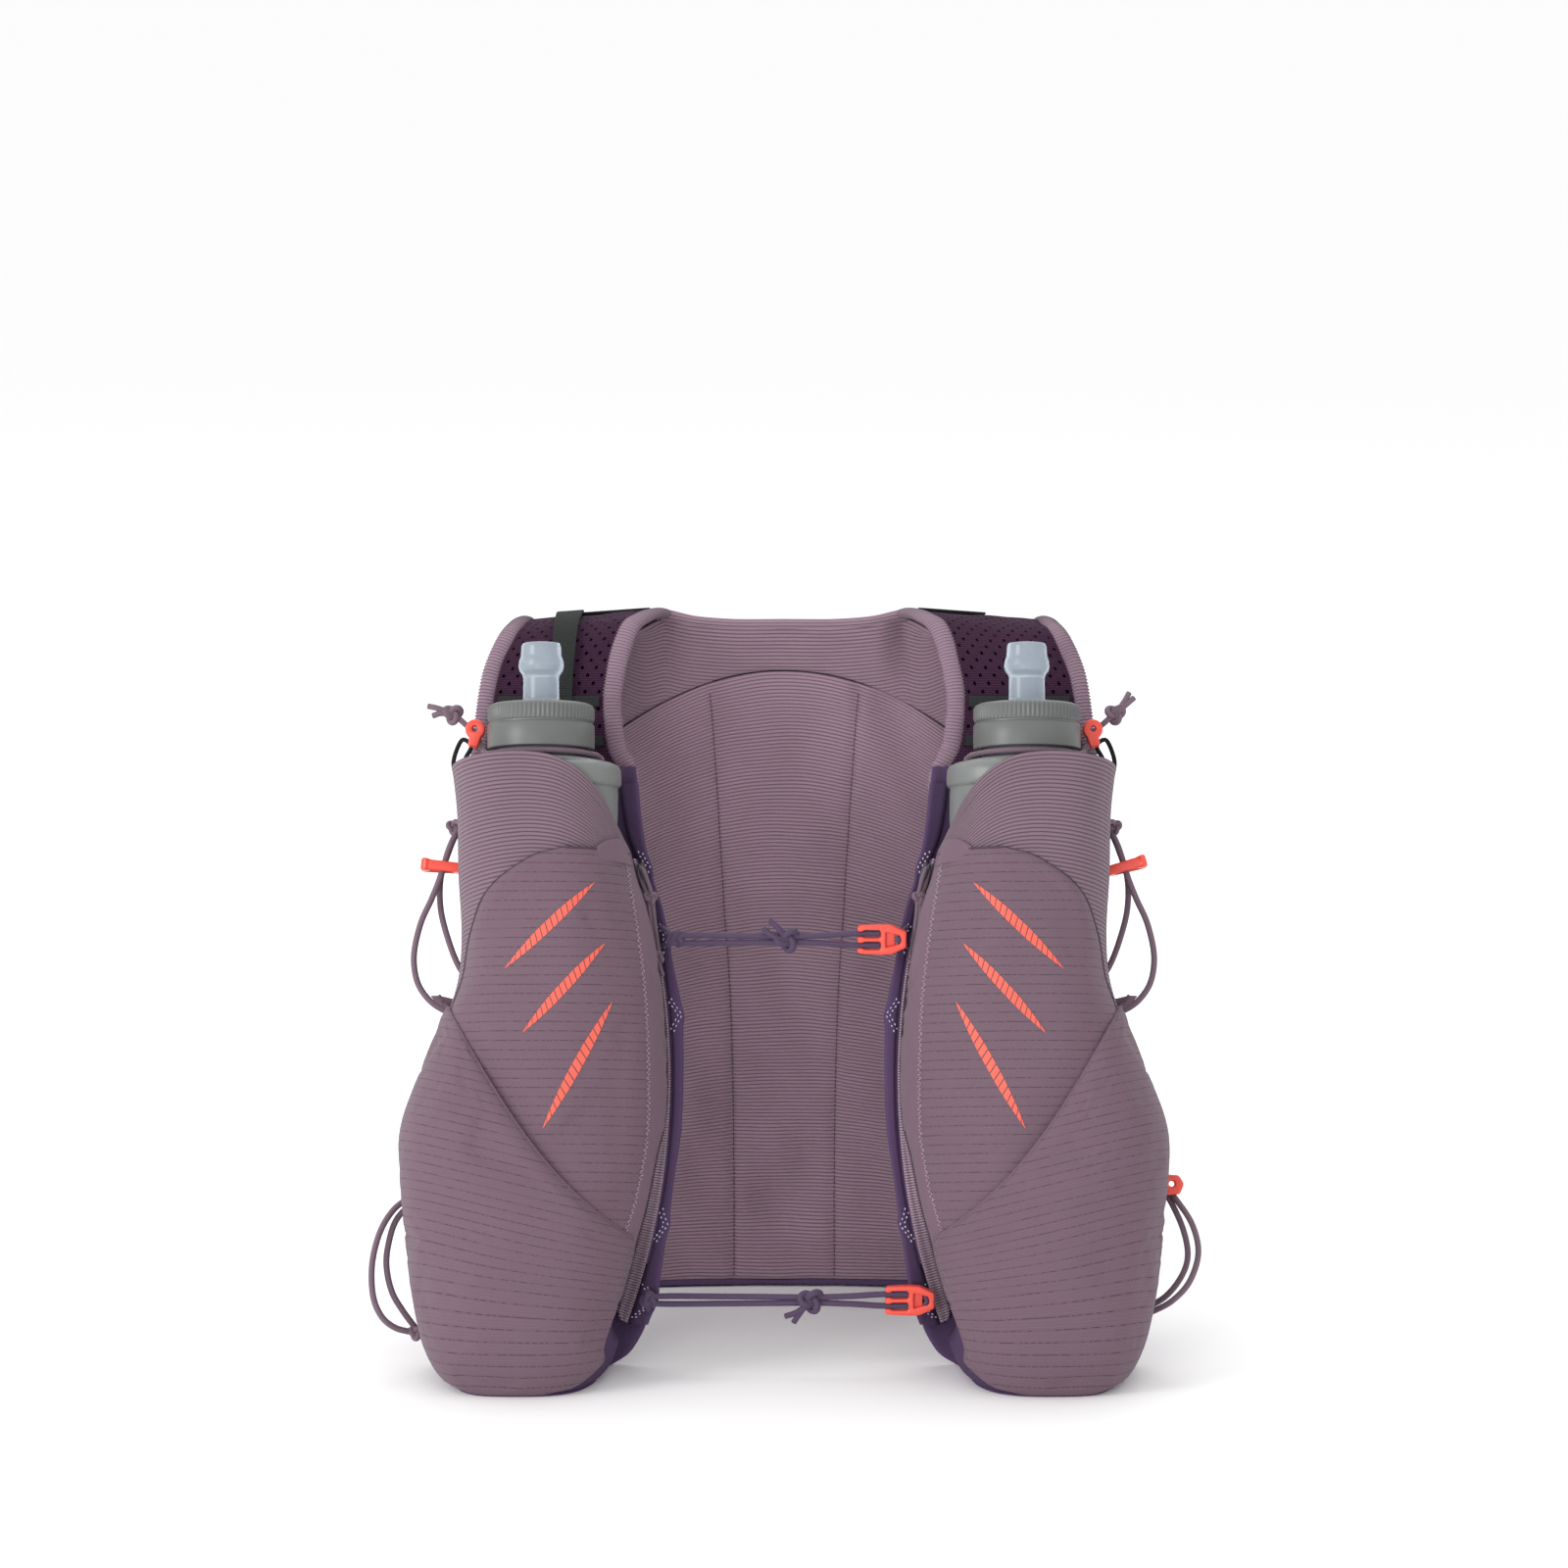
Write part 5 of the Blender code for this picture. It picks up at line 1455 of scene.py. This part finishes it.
def perforated(name, place, length, width):
    """A mesh fabric with real holes, bent by place(a, b, lift)."""
    flat, faces, rings = holed(length, width, 0.0038, 0.0078, 0.00098)
    front, rear = (place(flat[:, 0], flat[:, 1], lift) for lift in (0.0, -0.0012))
    count = len(flat)
    every = [tuple(face) for face in faces] + [tuple(count + v for v in face[::-1]) for face in faces]
    for ring in rings:
        every += [(a, b, count + b, count + a) for a, b in zip(ring, ring[1:] + ring[:1])]
    return joined(name, [(np.concatenate([front, rear]), every, np.concatenate([flat[:, ::-1]] * 2))])


def shoulder_strap(name, side):
    length, width = STRAP_LENGTH * STRAP_END, 0.0624

    def place(a, b, lift):
        soft_swell = 0.0006 * ripple(61 + side, a, b, 0.03)
        return strap_at(side, a / STRAP_LENGTH, b / width, lift + 0.0014 + soft_swell, 0.0030)

    mesh = perforated(f"{name}_strap_mesh", place, length, width)
    finish_mesh(mesh, None, "strap", [f"{name}_shoulder_strap"])
    v, share = np.linspace(0.0, STRAP_END, 80)[:, None], np.linspace(0, 1, 20)[None, :]
    points = strap_at(side, v, share, -0.0004, 0.0030)
    lining = sheet(f"{name}_strap_lining", points, stack(share * width, v * STRAP_LENGTH), 0.0016, side < 0)
    finish_mesh(lining, None, "foam")
    bend_over(mesh)
    bend_over(lining)
    bands = []
    for place, start, end, count, width_share in (
        ("upper", 0.285, 0.319, 10, 1.0), ("lower", 0.170, 0.200, 10, 1.0), ("back", 0.96, 1.16, 24, 0.60),
    ):
        v = np.linspace(start, end, count)
        bands.append(strap_band(f"{name}_band_{place}", side, v, 0.0, width_share, 0.0034))
    if side < 0:
        v = np.linspace(0.24, 1.12, 110)
        inner, outer = along(STRAP_INNER, v) + 0.006, along(STRAP_OUTER, v) - 0.006
        middle = mix(0.1080, 0.1052, step(0.24, 0.8, v))
        half = mix(0.0052, 0.0064, step(0.3, 0.8, v))
        band = strap_band(f"{name}_webbing", side, v, (middle - half - inner) / (outer - inner),
                          (middle + half - inner) / (outer - inner), 0.0044)
        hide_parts("left_strap_webbing")
        bands.append(band)
    for band in bands:
        bend_over(band)


def strap_band(name, side, v, first, last, lift):
    """A flat webbing laid over the strap, along v and across it between two shares."""
    first, last = (np.broadcast_to(value, v.shape)[:, None] for value in (first, last))
    share = mix(first, last, np.linspace(0, 1, 24)[None, :])
    v = v[:, None]
    edge = soft(np.minimum(v - v[0], v[-1] - v) * STRAP_LENGTH + 0.0002, 0.0010)
    points = strap_at(side, v, share, lift - 0.0006 + 0.0006 * edge, 0.0060)
    obj = sheet(name, points, stack(share * 0.062, v * STRAP_LENGTH), 0.0010, side < 0)
    return finish_mesh(obj, None, "webbing")


def binding(name, side, edge):
    """The ribbed tape folded round one edge of the strap."""
    inner = edge == "inner"
    v = np.linspace(0.055 if inner else 0.10, 1.0 if inner else STRAP_END, 90)
    line = strap_at(side, v, 0.0 if inner else 1.0, 0.0003, 0.0)
    spacing = 0.0003
    path = even_path(line, spacing)
    distance = np.arange(len(path)) * spacing
    rib = 0.00024 * np.cos(2 * math.pi * distance / 0.00165)
    taper = 0.55 + 0.45 * soft(distance, 0.005)
    tape = tube_parts(path, (0.0026 + rib) * taper, 20, 1.85 if inner else 1.62, (1.0, 0, 0))
    obj = joined(f"{name}_{edge}_tape", [tape])
    finish_mesh(obj, None, "binding", [f"{name}_{edge}_binding"])
    bend_over(obj)


# ---------------------------------------------------------------- sternum cords

def sternum(name, anchor, hook_x, knot_x, tail):
    """A doubled elastic cord, tied at the left placket and hooked on the right one."""
    anchor = np.array(anchor)
    reach = hook_x - anchor[0]
    parts = []
    for half in (-0.0028, 0.0028):
        path = [(0.0004, 0.0, 0.0), (0.006, 0, half * 0.65), (knot_x * 0.5, 0, half * 0.62),
                (knot_x - 0.004, 0, half * 0.5), (knot_x + 0.004, 0, half * 0.5),
                (mix(knot_x, reach, 0.55), 0, half * 0.7), (reach - 0.002, 0, half),
                (reach + 0.0106, 0, half)]
        parts.append(cord_part([anchor + p for p in path], STERNUM_CORD))
    across, up = np.array([1.0, 0, 0.25]), np.array([-0.25, 0, 1.0])
    centre = anchor + (knot_x, -0.0010, 0.0)
    parts.append(knot_part(centre, 0.0054, across, up, 0.0016))
    for k, (dx, dz) in enumerate(tail):
        bend = centre + (dx * 0.5, -0.0016, dz * 0.5 + 0.0012 * (1 - 2 * k))
        parts.append(cord_part([centre, bend, centre + (dx, -0.0010, dz)], NECK_CORD, 8, 9))
    parts.append(knot_part(anchor + (0.0015, 0, 0.0), 0.0032, up, across, 0.0015))
    obj = joined(f"{name}_elastic", parts)
    finish_mesh(obj, name, "sternum", [f"{name}_cord"])
    sternum_clip(name, anchor + (reach, 0, 0))


def sternum_clip(name, place):
    """The coral hook on a sternum cord's right end: a frame with two cord slots and a small ledge."""
    half_outline = [(0.0234, 0.0038), (0.0165, 0.0070), (0.0120, 0.0073), (0.0012, 0.0068), (0.0, 0.0060),
                    (0.0, 0.0042), (0.0020, 0.0039), (0.0036, 0.0048), (0.0104, 0.0048), (0.0112, 0.0040),
                    (0.0112, 0.0016), (0.0104, 0.0009), (0.0036, 0.0009), (0.0020, 0.0016), (0.0, 0.0013)]
    outline = half_outline + [(x, -z) for x, z in half_outline[::-1]]
    window = [(0.0136, -0.0038), (0.0206, -0.0019), (0.0206, 0.0019), (0.0136, 0.0038)]
    loops = [rounded(outline[::-1], 0.0007), rounded(window, 0.0008)[::-1]]
    mesh = slab(f"{name}_clip", loops, 0.0046, 0.0007)
    clip = place_mesh(f"{name}_clip", mesh, place, (1, 0, 0), (0, 0, 1))
    finish_mesh(clip, name, "coral", [f"{name}_hook"])
    ledge = [(0.0130, -0.0042), (0.0178, -0.0032), (0.0178, 0.0032), (0.0130, 0.0042)]
    mesh = slab(f"{name}_clip_ledge", [rounded(ledge, 0.0006)], 0.0018, 0.0004)
    ledge = place_mesh(f"{name}_clip_ledge", mesh, place + (0, 0.0008, 0), (1, 0, 0), (0, 0, 1))
    finish_mesh(ledge, name, "coral")


def anchor_loop(name, side, z, point):
    """A cord loop from the placket forward to a sternum cord's end."""
    point = np.array(point)
    t = float(along(PANEL_INNER, z)) - 0.003
    feet = [world(side, t, 0.0080, z + dz) for dz in (-0.0045, 0.0045)]
    path = [feet[0], mix(feet[0], point, 0.6) + (0, 0, -0.0012), point + (0, -0.0018, 0.0),
            mix(feet[1], point, 0.6) + (0, 0, 0.0012), feet[1]]
    obj = joined(name, [cord_part(path, LOOP_CORD, 8, 9)])
    finish_mesh(obj, "left_front" if side < 0 else "right_front", "sternum")


# ---------------------------------------------------------------- back

def back_panel():
    """Ribbed back of the harness, with two stitched channels and soft folds."""
    low = 0.0036
    count = int((0.313 - low) / BACK_RIB)
    rise = np.arange(count * 3 + 1)[:, None] / (count * 3)
    x = np.linspace(-BACK_HALF, BACK_HALF, 110)[None, :]
    z = mix(low, seam_z(x) - 0.0004, rise)
    beside = np.abs(x) - along(BACK_SEAMS, z)
    channel = -0.0016 * np.exp(-(beside / 0.0022) ** 2)
    folds = 0.0024 * ripple(71, x, z, 0.070, stretch=0.45) + 0.0003 * ripple(72, x, z, 0.03)
    crease = 0.0018 * ripple(73, x, z, 0.028, stretch=3.0) * np.exp(-(x / 0.03) ** 2) * step(0.16, 0.09, z)
    edge = soft(np.minimum(1 - np.abs(x) / BACK_HALF, 0.2) * 0.13, 0.004)
    edge = edge * soft(np.minimum(rise, 1 - rise) * 0.3, 0.003)
    rib = -0.00028 * (np.arange(count * 3 + 1) % 3 == 0)[:, None]
    out = (0.0006 + channel + folds + crease) * edge + rib
    points = stack(x, back_y(x) - out, z)
    obj = sheet("back_ribbed_panel", points, stack(x, (rise * count * BACK_RIB)), 0.0042, False)
    finish_mesh(obj, "back", "back", ["back_panel"])
    tree, parts = tree_of(obj), []
    for sign in (-1, 1):
        zs = np.linspace(0.006, 0.302, 300)
        xs = sign * along(BACK_SEAMS, zs)
        hits = [tree.ray_cast(Vector((x, -0.05, z)), Vector((0, 1, 0)))[0] for x, z in zip(xs, zs)]
        path = np.array([hit for hit in hits if hit is not None])
        forwards = np.tile((0.0, -1.0, 0.0), (len(path), 1))
        parts += stitch_parts(path, forwards, 0.0015, 0.0010, 0.00032, 0.0002)
    back_piece("back_stitches", parts, "back_thread")


def hem_band():
    """The rolled tape along the back's lower edge."""
    x = np.linspace(-BACK_HALF, BACK_HALF, 120)[None, :]
    rise = spread_ends(12, 2.0)[:, None]
    z = mix(0.0006, 0.0042, rise)
    y = back_y(x) + 0.0020 - 0.0036 * soft(np.minimum(rise, 1 - rise), 0.30) - 0.0003 * ripple(81, x, z, 0.03)
    points = stack(x, y, z)
    obj = sheet("hem_tape", points, stack(x, z), 0.0048, False)
    keep_off_floor(obj)
    finish_mesh(obj, "back", "placket", ["hem_band"])


def collar_z(x):
    return along(COLLAR, np.abs(x))


# The yoke's shelf under a strap, against v: the back's share of y, the seam's share of z, and what is added.
BACK_SHARE = ((0, 1), (0.45, 1), (0.78, 0), (1.0, 0))
SEAM_SHARE = ((0, 1), (0.45, 0), (0.78, 0), (1.0, 0))
SHELF_Y = ((0, 0), (0.45, 0), (0.78, 0.0583), (1.0, 0.0458))
SHELF_Z = ((0, 0), (0.45, 0.316), (0.78, 0.3290), (1.0, 0.3320))


def yoke_line(x, v):
    """Front face of the padded collar, which folds forward into a shelf under each strap."""
    base = back_y(x)
    shelf_y = along(BACK_SHARE, v) * base + along(SHELF_Y, v)
    shelf_z = along(SEAM_SHARE, v) * seam_z(x) + along(SHELF_Z, v)
    share = step(0.056, 0.084, np.abs(x))
    lean = 0.0090 * step(0.045, 0.062, np.abs(x)) * v
    return mix(base + lean, shelf_y, share), mix(mix(seam_z(x), collar_z(x), v), shelf_z, share)


def yoke():
    """The collar's padded front and the soft fold along its top, which runs into the straps' inner tapes."""
    v = np.linspace(0, 1, 150)[:, None]
    x = np.linspace(-BACK_HALF, BACK_HALF, 128)[None, :]
    y, z = yoke_line(x, v)
    below = np.cumsum(np.hypot(np.diff(y[::-1], axis=0), np.diff(z[::-1], axis=0)), axis=0)
    below = np.concatenate([np.zeros((1, x.size)), below])[::-1]
    points = stack(x + 0 * v, y, z)
    pad = 0.0022 * soft(v * 0.06, 0.010) * soft((1 - v) * 0.06 + 0.0004, 0.006)
    rib = -0.00028 * (0.5 + 0.5 * np.cos(2 * math.pi * below / BACK_RIB)) ** 3
    soft_folds = 0.0006 * ripple(91, x, v * 0.06, 0.035)
    points = shift(points, False, pad + rib + soft_folds - 0.0004)
    obj = sheet("yoke_pad", points, stack(x, below), 0.0046, False)
    finish_mesh(obj, "back", "yoke", ["yoke"])
    x = np.linspace(-0.0600, 0.0600, 90)
    join = step(0.040, 0.060, np.abs(x))
    y = mix(back_y(x) + 0.0022, 0.0713, join)
    path = even_path(stack(x, y, collar_z(x) + 0.0002), 0.0008)
    radius = 0.0031 + 0.0006 * step(0.045, 0.060, np.abs(path[:, 0]))
    tube, faces, uv = tube_parts(path, radius, 20, 1.25, (0, 1.0, 0))
    uv = stack(uv[:, 1], uv[:, 0] * 0.022)
    back_piece("collar_roll", [(tube, faces, uv)], "yoke", ["collar_binding"])


def bag_half(z):
    """The bag's half width: it rounds off towards its top corners."""
    return BAG_HALF * (1 - np.clip((z - 0.262) / (BAG_TOP + 0.004 - 0.262), 0, 1) ** 3) ** (1 / 3)


def bag_out(x, z):
    """y of the bag's outer face."""
    across = (1 - np.minimum(1, np.abs(x / bag_half(z))) ** 4) ** (1 / 3)
    over = (1 - np.clip((z - 0.15) / (BAG_TOP - 0.15), 0, 1) ** 4) ** (1 / 3)
    up = np.where(z > 0.15, over, mix(0.72, 1.0, step(0.0, 0.10, z)))
    return back_y(x) + BACK_THICK + 0.0026 + BAG_DEPTH * across * up


def bag_zip_plane():
    """y of the flat arc the bag's zip runs in, just clear of the bag."""
    arc = np.radians(np.arange(0, 76, 5))
    x, z = BAG_ZIP_RADIUS * np.sin(arc), BAG_ZIP_Z + BAG_ZIP_RADIUS * np.cos(arc)
    return float(np.max(bag_out(x, z))) + 0.0022


BAG_PLANE = bag_zip_plane()


def bag_face(x, z):
    ring = np.hypot(x, z - BAG_ZIP_Z)
    disc = BAG_PLANE - 0.0020 - 3.4 * np.maximum(0, ring - 0.0905)
    return np.maximum(bag_out(x, z), np.where(z > 0.150, disc, -1.0))


def main_bag():
    """The bag's shell: one outer skin that turns in to the back all round."""
    u = np.linspace(-1, 1, 130)
    upper = 0.15 + (BAG_TOP - 0.15) * (1 - (1 - np.linspace(0, 1, 74)) ** 3)
    z = np.concatenate([np.linspace(0.0004, 0.15, 60)[:-1], upper])[:, None]
    share = (np.sign(u) * (1 - (1 - np.abs(u)) ** 3))[None, :]
    x = bag_half(z) * share
    y = bag_face(x, z)
    inside = soft(np.minimum(bag_half(z) - np.abs(x), BAG_TOP - z), 0.02)
    folds = 0.0018 * ripple(101, x, z, 0.06, stretch=1.8) + 0.0008 * ripple(102, x, z, 0.025)
    sag = 0.0030 * np.exp(-((z - 0.06) / 0.04) ** 2) * np.cos(math.pi / 2 * np.clip(x / BAG_HALF, -1, 1))
    y = y + (folds + sag) * inside * step(0.090, 0.100, np.hypot(x, z - BAG_ZIP_Z))
    y = np.maximum(y, back_y(x) + BACK_THICK + 0.0012)
    points = stack(x, y, z + 0 * x)
    obj = sheet("bag_shell", points, stack(x, z), 0.0016, True)
    finish_mesh(obj, "back", "bag", ["main_bag"])


def bag_piping():
    """The piping down the bag's two sides and over its top corners."""
    parts = []
    for sign in (-1, 1):
        zs = np.linspace(0.006, 0.300, 110)
        xs = sign * 0.1050 * (1 - 0.30 * step(0.20, 0.30, zs))
        line = even_path(stack(xs, bag_face(xs, zs) + 0.0009, zs), 0.001)
        parts.append(tube_parts(line, 0.0011, 8))
    zs = np.linspace(0.262, 0.3145, 30)
    arc = np.concatenate([stack(-bag_half(zs), zs), stack(bag_half(zs), zs)[::-1]])
    line = stack(arc[:, 0] * 0.995, back_y(arc[:, 0]) + BACK_THICK + 0.0030, arc[:, 1])
    parts.append(tube_parts(even_path(line, 0.001), 0.0015, 8))
    back_piece("bag_piping", parts, "placket")


def bag_zip():
    """The bag's coil between its two tapes."""
    arc = np.radians(np.linspace(-75, 75, 230))
    parts = []
    for k, a in enumerate(arc):
        out = np.array([math.sin(a), 0, math.cos(a)])
        start, end = (-0.0016, 0.0006) if k % 2 else (-0.0006, 0.0016)
        centre = np.array([0, BAG_PLANE, BAG_ZIP_Z])
        loop = [centre + out * (BAG_ZIP_RADIUS + r) + (0, d, 0) for r, d in
                ((start, -0.0012), (start, 0.0010), (end, 0.0010), (end, -0.0012))]
        parts.append(tube_parts(even_path(smooth_path(loop, 3), 0.0006), 0.00036, 6))
    for radial in (-0.0044, 0.0044):
        line = np.array([(math.sin(a) * (BAG_ZIP_RADIUS + radial), BAG_PLANE - 0.0012,
                          BAG_ZIP_Z + math.cos(a) * (BAG_ZIP_RADIUS + radial)) for a in arc])
        parts.append(tube_parts(line, 0.0011, 8))
    back_piece("bag_zip_teeth", parts, "placket", ["bag_zip_coil"])


def bag_slider():
    """The bag's slider, near the left end of its arc, and the coral cord that hangs from it."""
    start = math.radians(-62)
    out = np.array([math.sin(start), 0, math.cos(start)])
    ahead = np.array([math.cos(start), 0, -math.sin(start)])
    centre = np.array([0, BAG_PLANE + 0.0046, BAG_ZIP_Z]) + out * BAG_ZIP_RADIUS
    outline = rounded([(-0.0032, -0.0062), (0.0032, -0.0062), (0.0043, 0.0), (0.0030, 0.0064), (0.0, 0.0050),
                       (-0.0030, 0.0064), (-0.0043, 0.0)], 0.0012)
    mesh = slab("bag_slider", [outline], 0.0036)
    body = place_mesh("bag_slider", mesh, centre, out, ahead)
    finish_mesh(body, "bag_zip_slider", "slider", ["bag_zip_slider"])
    eye = centre + (0, 0.0042, 0)
    loop = [eye + p for p in ((0.0010, 0.0006, -0.013), (0.0016, 0.0014, -0.005), (0.0, 0.0006, 0.0010),
                              (-0.0016, 0.0014, -0.005), (-0.0010, 0.0006, -0.013))]
    knot = knot_part(eye + (0, 0.001, -0.0150), 0.0028, (1, 0, 0), (0, 0, 1), 0.0012)
    parts = [cord_part(loop, THIN_CORD, 8, 9), knot]
    for dx in (-0.0016, 0.0018):
        tail = [(dx * 0.3, 0.001, -0.016), (dx, 0.0008, -0.023), (dx * 1.3, 0.001, -0.0295)]
        parts.append(cord_part([eye + point for point in tail], THIN_CORD, 8, 9))
    pull = joined("bag_zip_cord", parts)
    finish_mesh(pull, "bag_zip_pull", "coral", ["bag_zip_pull"])


def stash_top(x):
    return 0.165 + 0.8 * x * x


def stash_pocket():
    """Stretch pocket low on the bag, with a bound mouth."""
    rise, x = np.linspace(0, 1, 90)[:, None], (BAG_HALF - 0.024) * np.linspace(-1, 1, 96)[None, :]
    z = mix(0.010, stash_top(x), rise)
    edge = soft(np.minimum(1 - np.abs(x) / 0.098, np.minimum(rise * 1.5, 1.0)), 0.12)
    out = 0.0012 + 0.0042 * edge + 0.0014 * ripple(111, x, z, 0.05, stretch=0.7) * edge
    points = stack(x, bag_face(x, z) + out, z)
    obj = sheet("stash_cover", points, stack(x, z), 0.0014, True)
    finish_mesh(obj, "back", "stretch_pocket", ["stash_pocket"])
    line = even_path(points[-1] + (0, -0.0004, 0.0), 0.0010)
    back_piece("stash_hem", [tube_parts(line, 0.0016, 12, 2.2, (0, 0, 1.0))], "binding")


def bag_lacing():
    """Elastic cord that zigzags over the stash pocket through small webbing loops."""
    lace, loops, half = [], [], 0.058
    for k, z in enumerate(np.linspace(0.050, 0.150, 6)):
        for sign in (-1, 1):
            x = sign * half
            spot = np.array([x, float(bag_face(np.array(x), np.array(z))) + 0.0072, z])
            loop = [(0.004, -0.004, 0), (0, 0.0012, 0), (-0.004, -0.004, 0)]
            loops.append(cord_part([spot + point for point in loop], THIN_CORD, 6, 8))
        lace.append((half if k % 2 else -half, z))
    path = []
    for (x0, z0), (x1, z1) in zip(lace[:-1], lace[1:]):
        for u in np.linspace(0, 1, 8, endpoint=False):
            px, pz = mix(x0, x1, u), mix(z0, z1, u)
            path.append((px, float(bag_face(np.array(px), np.array(pz))) + 0.0078, pz))
    back_piece("bag_lacing", [cord_part(path, 0.0013, 4, 9)], "cord")
    back_piece("lacing_loops", loops, "webbing")


def haul_loop():
    """A webbing hanger behind the collar."""
    path = [(-0.0180, 0.0715, 0.3170), (-0.0165, 0.0745, 0.3240), (-0.0100, 0.0800, 0.3300),
            (0.0, 0.0820, 0.3318), (0.0100, 0.0800, 0.3300), (0.0165, 0.0745, 0.3240),
            (0.0180, 0.0715, 0.3170)]
    line = even_path(smooth_path(path), 0.001)
    back_piece("haul_loop", [tube_parts(line, 0.0010, 12, 4.0, (0, 1.0, 0.2))], "webbing")


def side_wing(name, side):
    """Mesh wing that curves round from the back, its free corners rounded and bound."""
    share, rise = np.linspace(0, 1, 40)[None, :], np.linspace(0, 1, 70)[:, None]
    turn = mix(-0.10, 1.0, share) * math.pi / 2
    x = 0.1300 + 0.020 * np.sin(turn) + 0.0010 * ripple(121 + side, share * 0.04, rise * 0.15, 0.04)
    y = back_y(BACK_HALF) + 0.002 - 0.030 * (1 - np.cos(turn))
    corner = 0.024 * (1 - np.sqrt(1 - np.clip((share - 0.45) / 0.55, 0, 1) ** 2))
    half = mix(0.0850, 0.0640, step(0, 1, share)) - corner
    z = 0.1300 + half * (2 * rise - 1)
    points = stack(side * x, y + 0 * rise, z)
    obj = sheet(f"{name}_wing_mesh", points, stack(share * 0.04, z), 0.0020, side < 0)
    finish_mesh(obj, "back", "strap", [f"{name}_side_wing"])
    border = np.concatenate([points[0, :-1], points[:-1, -1], points[-1, ::-1]])
    edge = tube_parts(even_path(border, 0.001), 0.0019, 10)
    back_piece(f"{name}_wing_edge", [edge], "binding")


# ---------------------------------------------------------------- the vest

for side_name, sign in SIDES.items():
    base_panel(side_name, sign)
    sleeve(side_name, sign)
    pocket = zip_pocket(side_name, sign)
    zip_garage(side_name, sign)
    stretch_pocket(side_name, sign)
    foot_cup(side_name, sign)
    pocket_tree = tree_of(pocket)
    pocket_stitches(side_name, sign, pocket_tree)
    slashes(side_name, sign, pocket_tree)
    bartacks(side_name, sign, tree_of(placket(side_name, sign)))
    zip_coil(side_name, sign)
    zip_pull(side_name, sign, zip_slider(side_name, sign))
    flask(side_name, sign)
    cap(side_name, sign)
    bite_valve(side_name, sign)
    flask_bungee(side_name, sign)
    ring_toggle(side_name, sign)
    upper_side_cord(side_name, sign)
    side_pull(side_name, sign)
    lower_side_cord(side_name, sign)
    low_toggle(side_name, sign)
    shoulder_strap(side_name, sign)
    binding(side_name, sign, "inner")
    binding(side_name, sign, "outer")
    side_wing(side_name, sign)

UPPER_ANCHOR, LOWER_ANCHOR = (-0.0530, -0.0607, 0.2030), (-0.0660, -0.0967, 0.0352)
sternum("upper_sternum", UPPER_ANCHOR, 0.0350, 0.0545, ((-0.0085, 0.0095), (-0.0115, 0.0055)))
sternum("lower_sternum", LOWER_ANCHOR, 0.0482, 0.0790, ((-0.0085, -0.0105), (-0.0125, -0.0075)))
anchor_loop("upper_left_anchor", -1, 0.2114, UPPER_ANCHOR)
anchor_loop("lower_left_anchor", -1, 0.0375, LOWER_ANCHOR)
anchor_loop("upper_right_anchor", 1, 0.2114, (0.0548, -0.0607, 0.2030))
anchor_loop("lower_right_anchor", 1, 0.0375, (0.0680, -0.0967, 0.0352))

back_panel()
hem_band()
yoke()
main_bag()
bag_piping()
bag_zip()
bag_slider()
stash_pocket()
bag_lacing()
haul_loop()


# ---------------------------------------------------------------- stage

def floor():
    mesh = bpy.data.meshes.new("floor")
    mesh.from_pydata([(-20, -20, 0), (20, -20, 0), (20, 20, 0), (-20, 20, 0)], [], [(0, 1, 2, 3)])
    obj = new_object("floor", mesh)
    paint = Paint("floor_white", (250, 250, 250), 0.8, Specular_IOR_Level=0.1)
    obj.data.materials.append(paint.done())


def aimed(name, data, place, aim):
    """A light or camera at a place, looking at a point."""
    obj = new_object(name, data)
    obj.location = place
    obj.rotation_euler = (Vector(aim) - Vector(place)).to_track_quat("-Z", "Y").to_euler()
    return obj


def area_light(name, place, aim, size, power):
    data = bpy.data.lights.new(name, "AREA")
    data.shape, data.size, data.size_y = "RECTANGLE", size[0], size[1]
    data.energy = power
    obj = aimed(name, data, place, aim)


def camera(place, aim, lens):
    data = bpy.data.cameras.new("camera")
    data.lens, data.sensor_width = lens, 36
    bpy.context.scene.camera = aimed("camera", data, place, aim)


def studio(strength):
    """Even white light from all round."""
    surroundings = bpy.data.worlds.new("studio")
    surroundings.use_nodes = True
    background = surroundings.node_tree.nodes["Background"]
    background.inputs["Color"].default_value = (1, 1, 1, 1)
    background.inputs["Strength"].default_value = strength
    bpy.context.scene.world = surroundings


floor()
studio(1.02)
area_light("front", (-0.9, -2.8, 0.5), (0, 0, 0.16), (0.8, 0.6), 17)
area_light("key", (-2.0, -1.3, 1.1), (0, 0, 0.16), (0.9, 0.9), 23)
area_light("top", (0.1, 1.0, 1.9), (0, 0, 0.2), (1.4, 1.2), 14)
camera((0, -2.9851, 0.7938), (0, -0.0307, 0.2729), 143.6)
bpy.context.scene.view_settings.view_transform = "Standard"
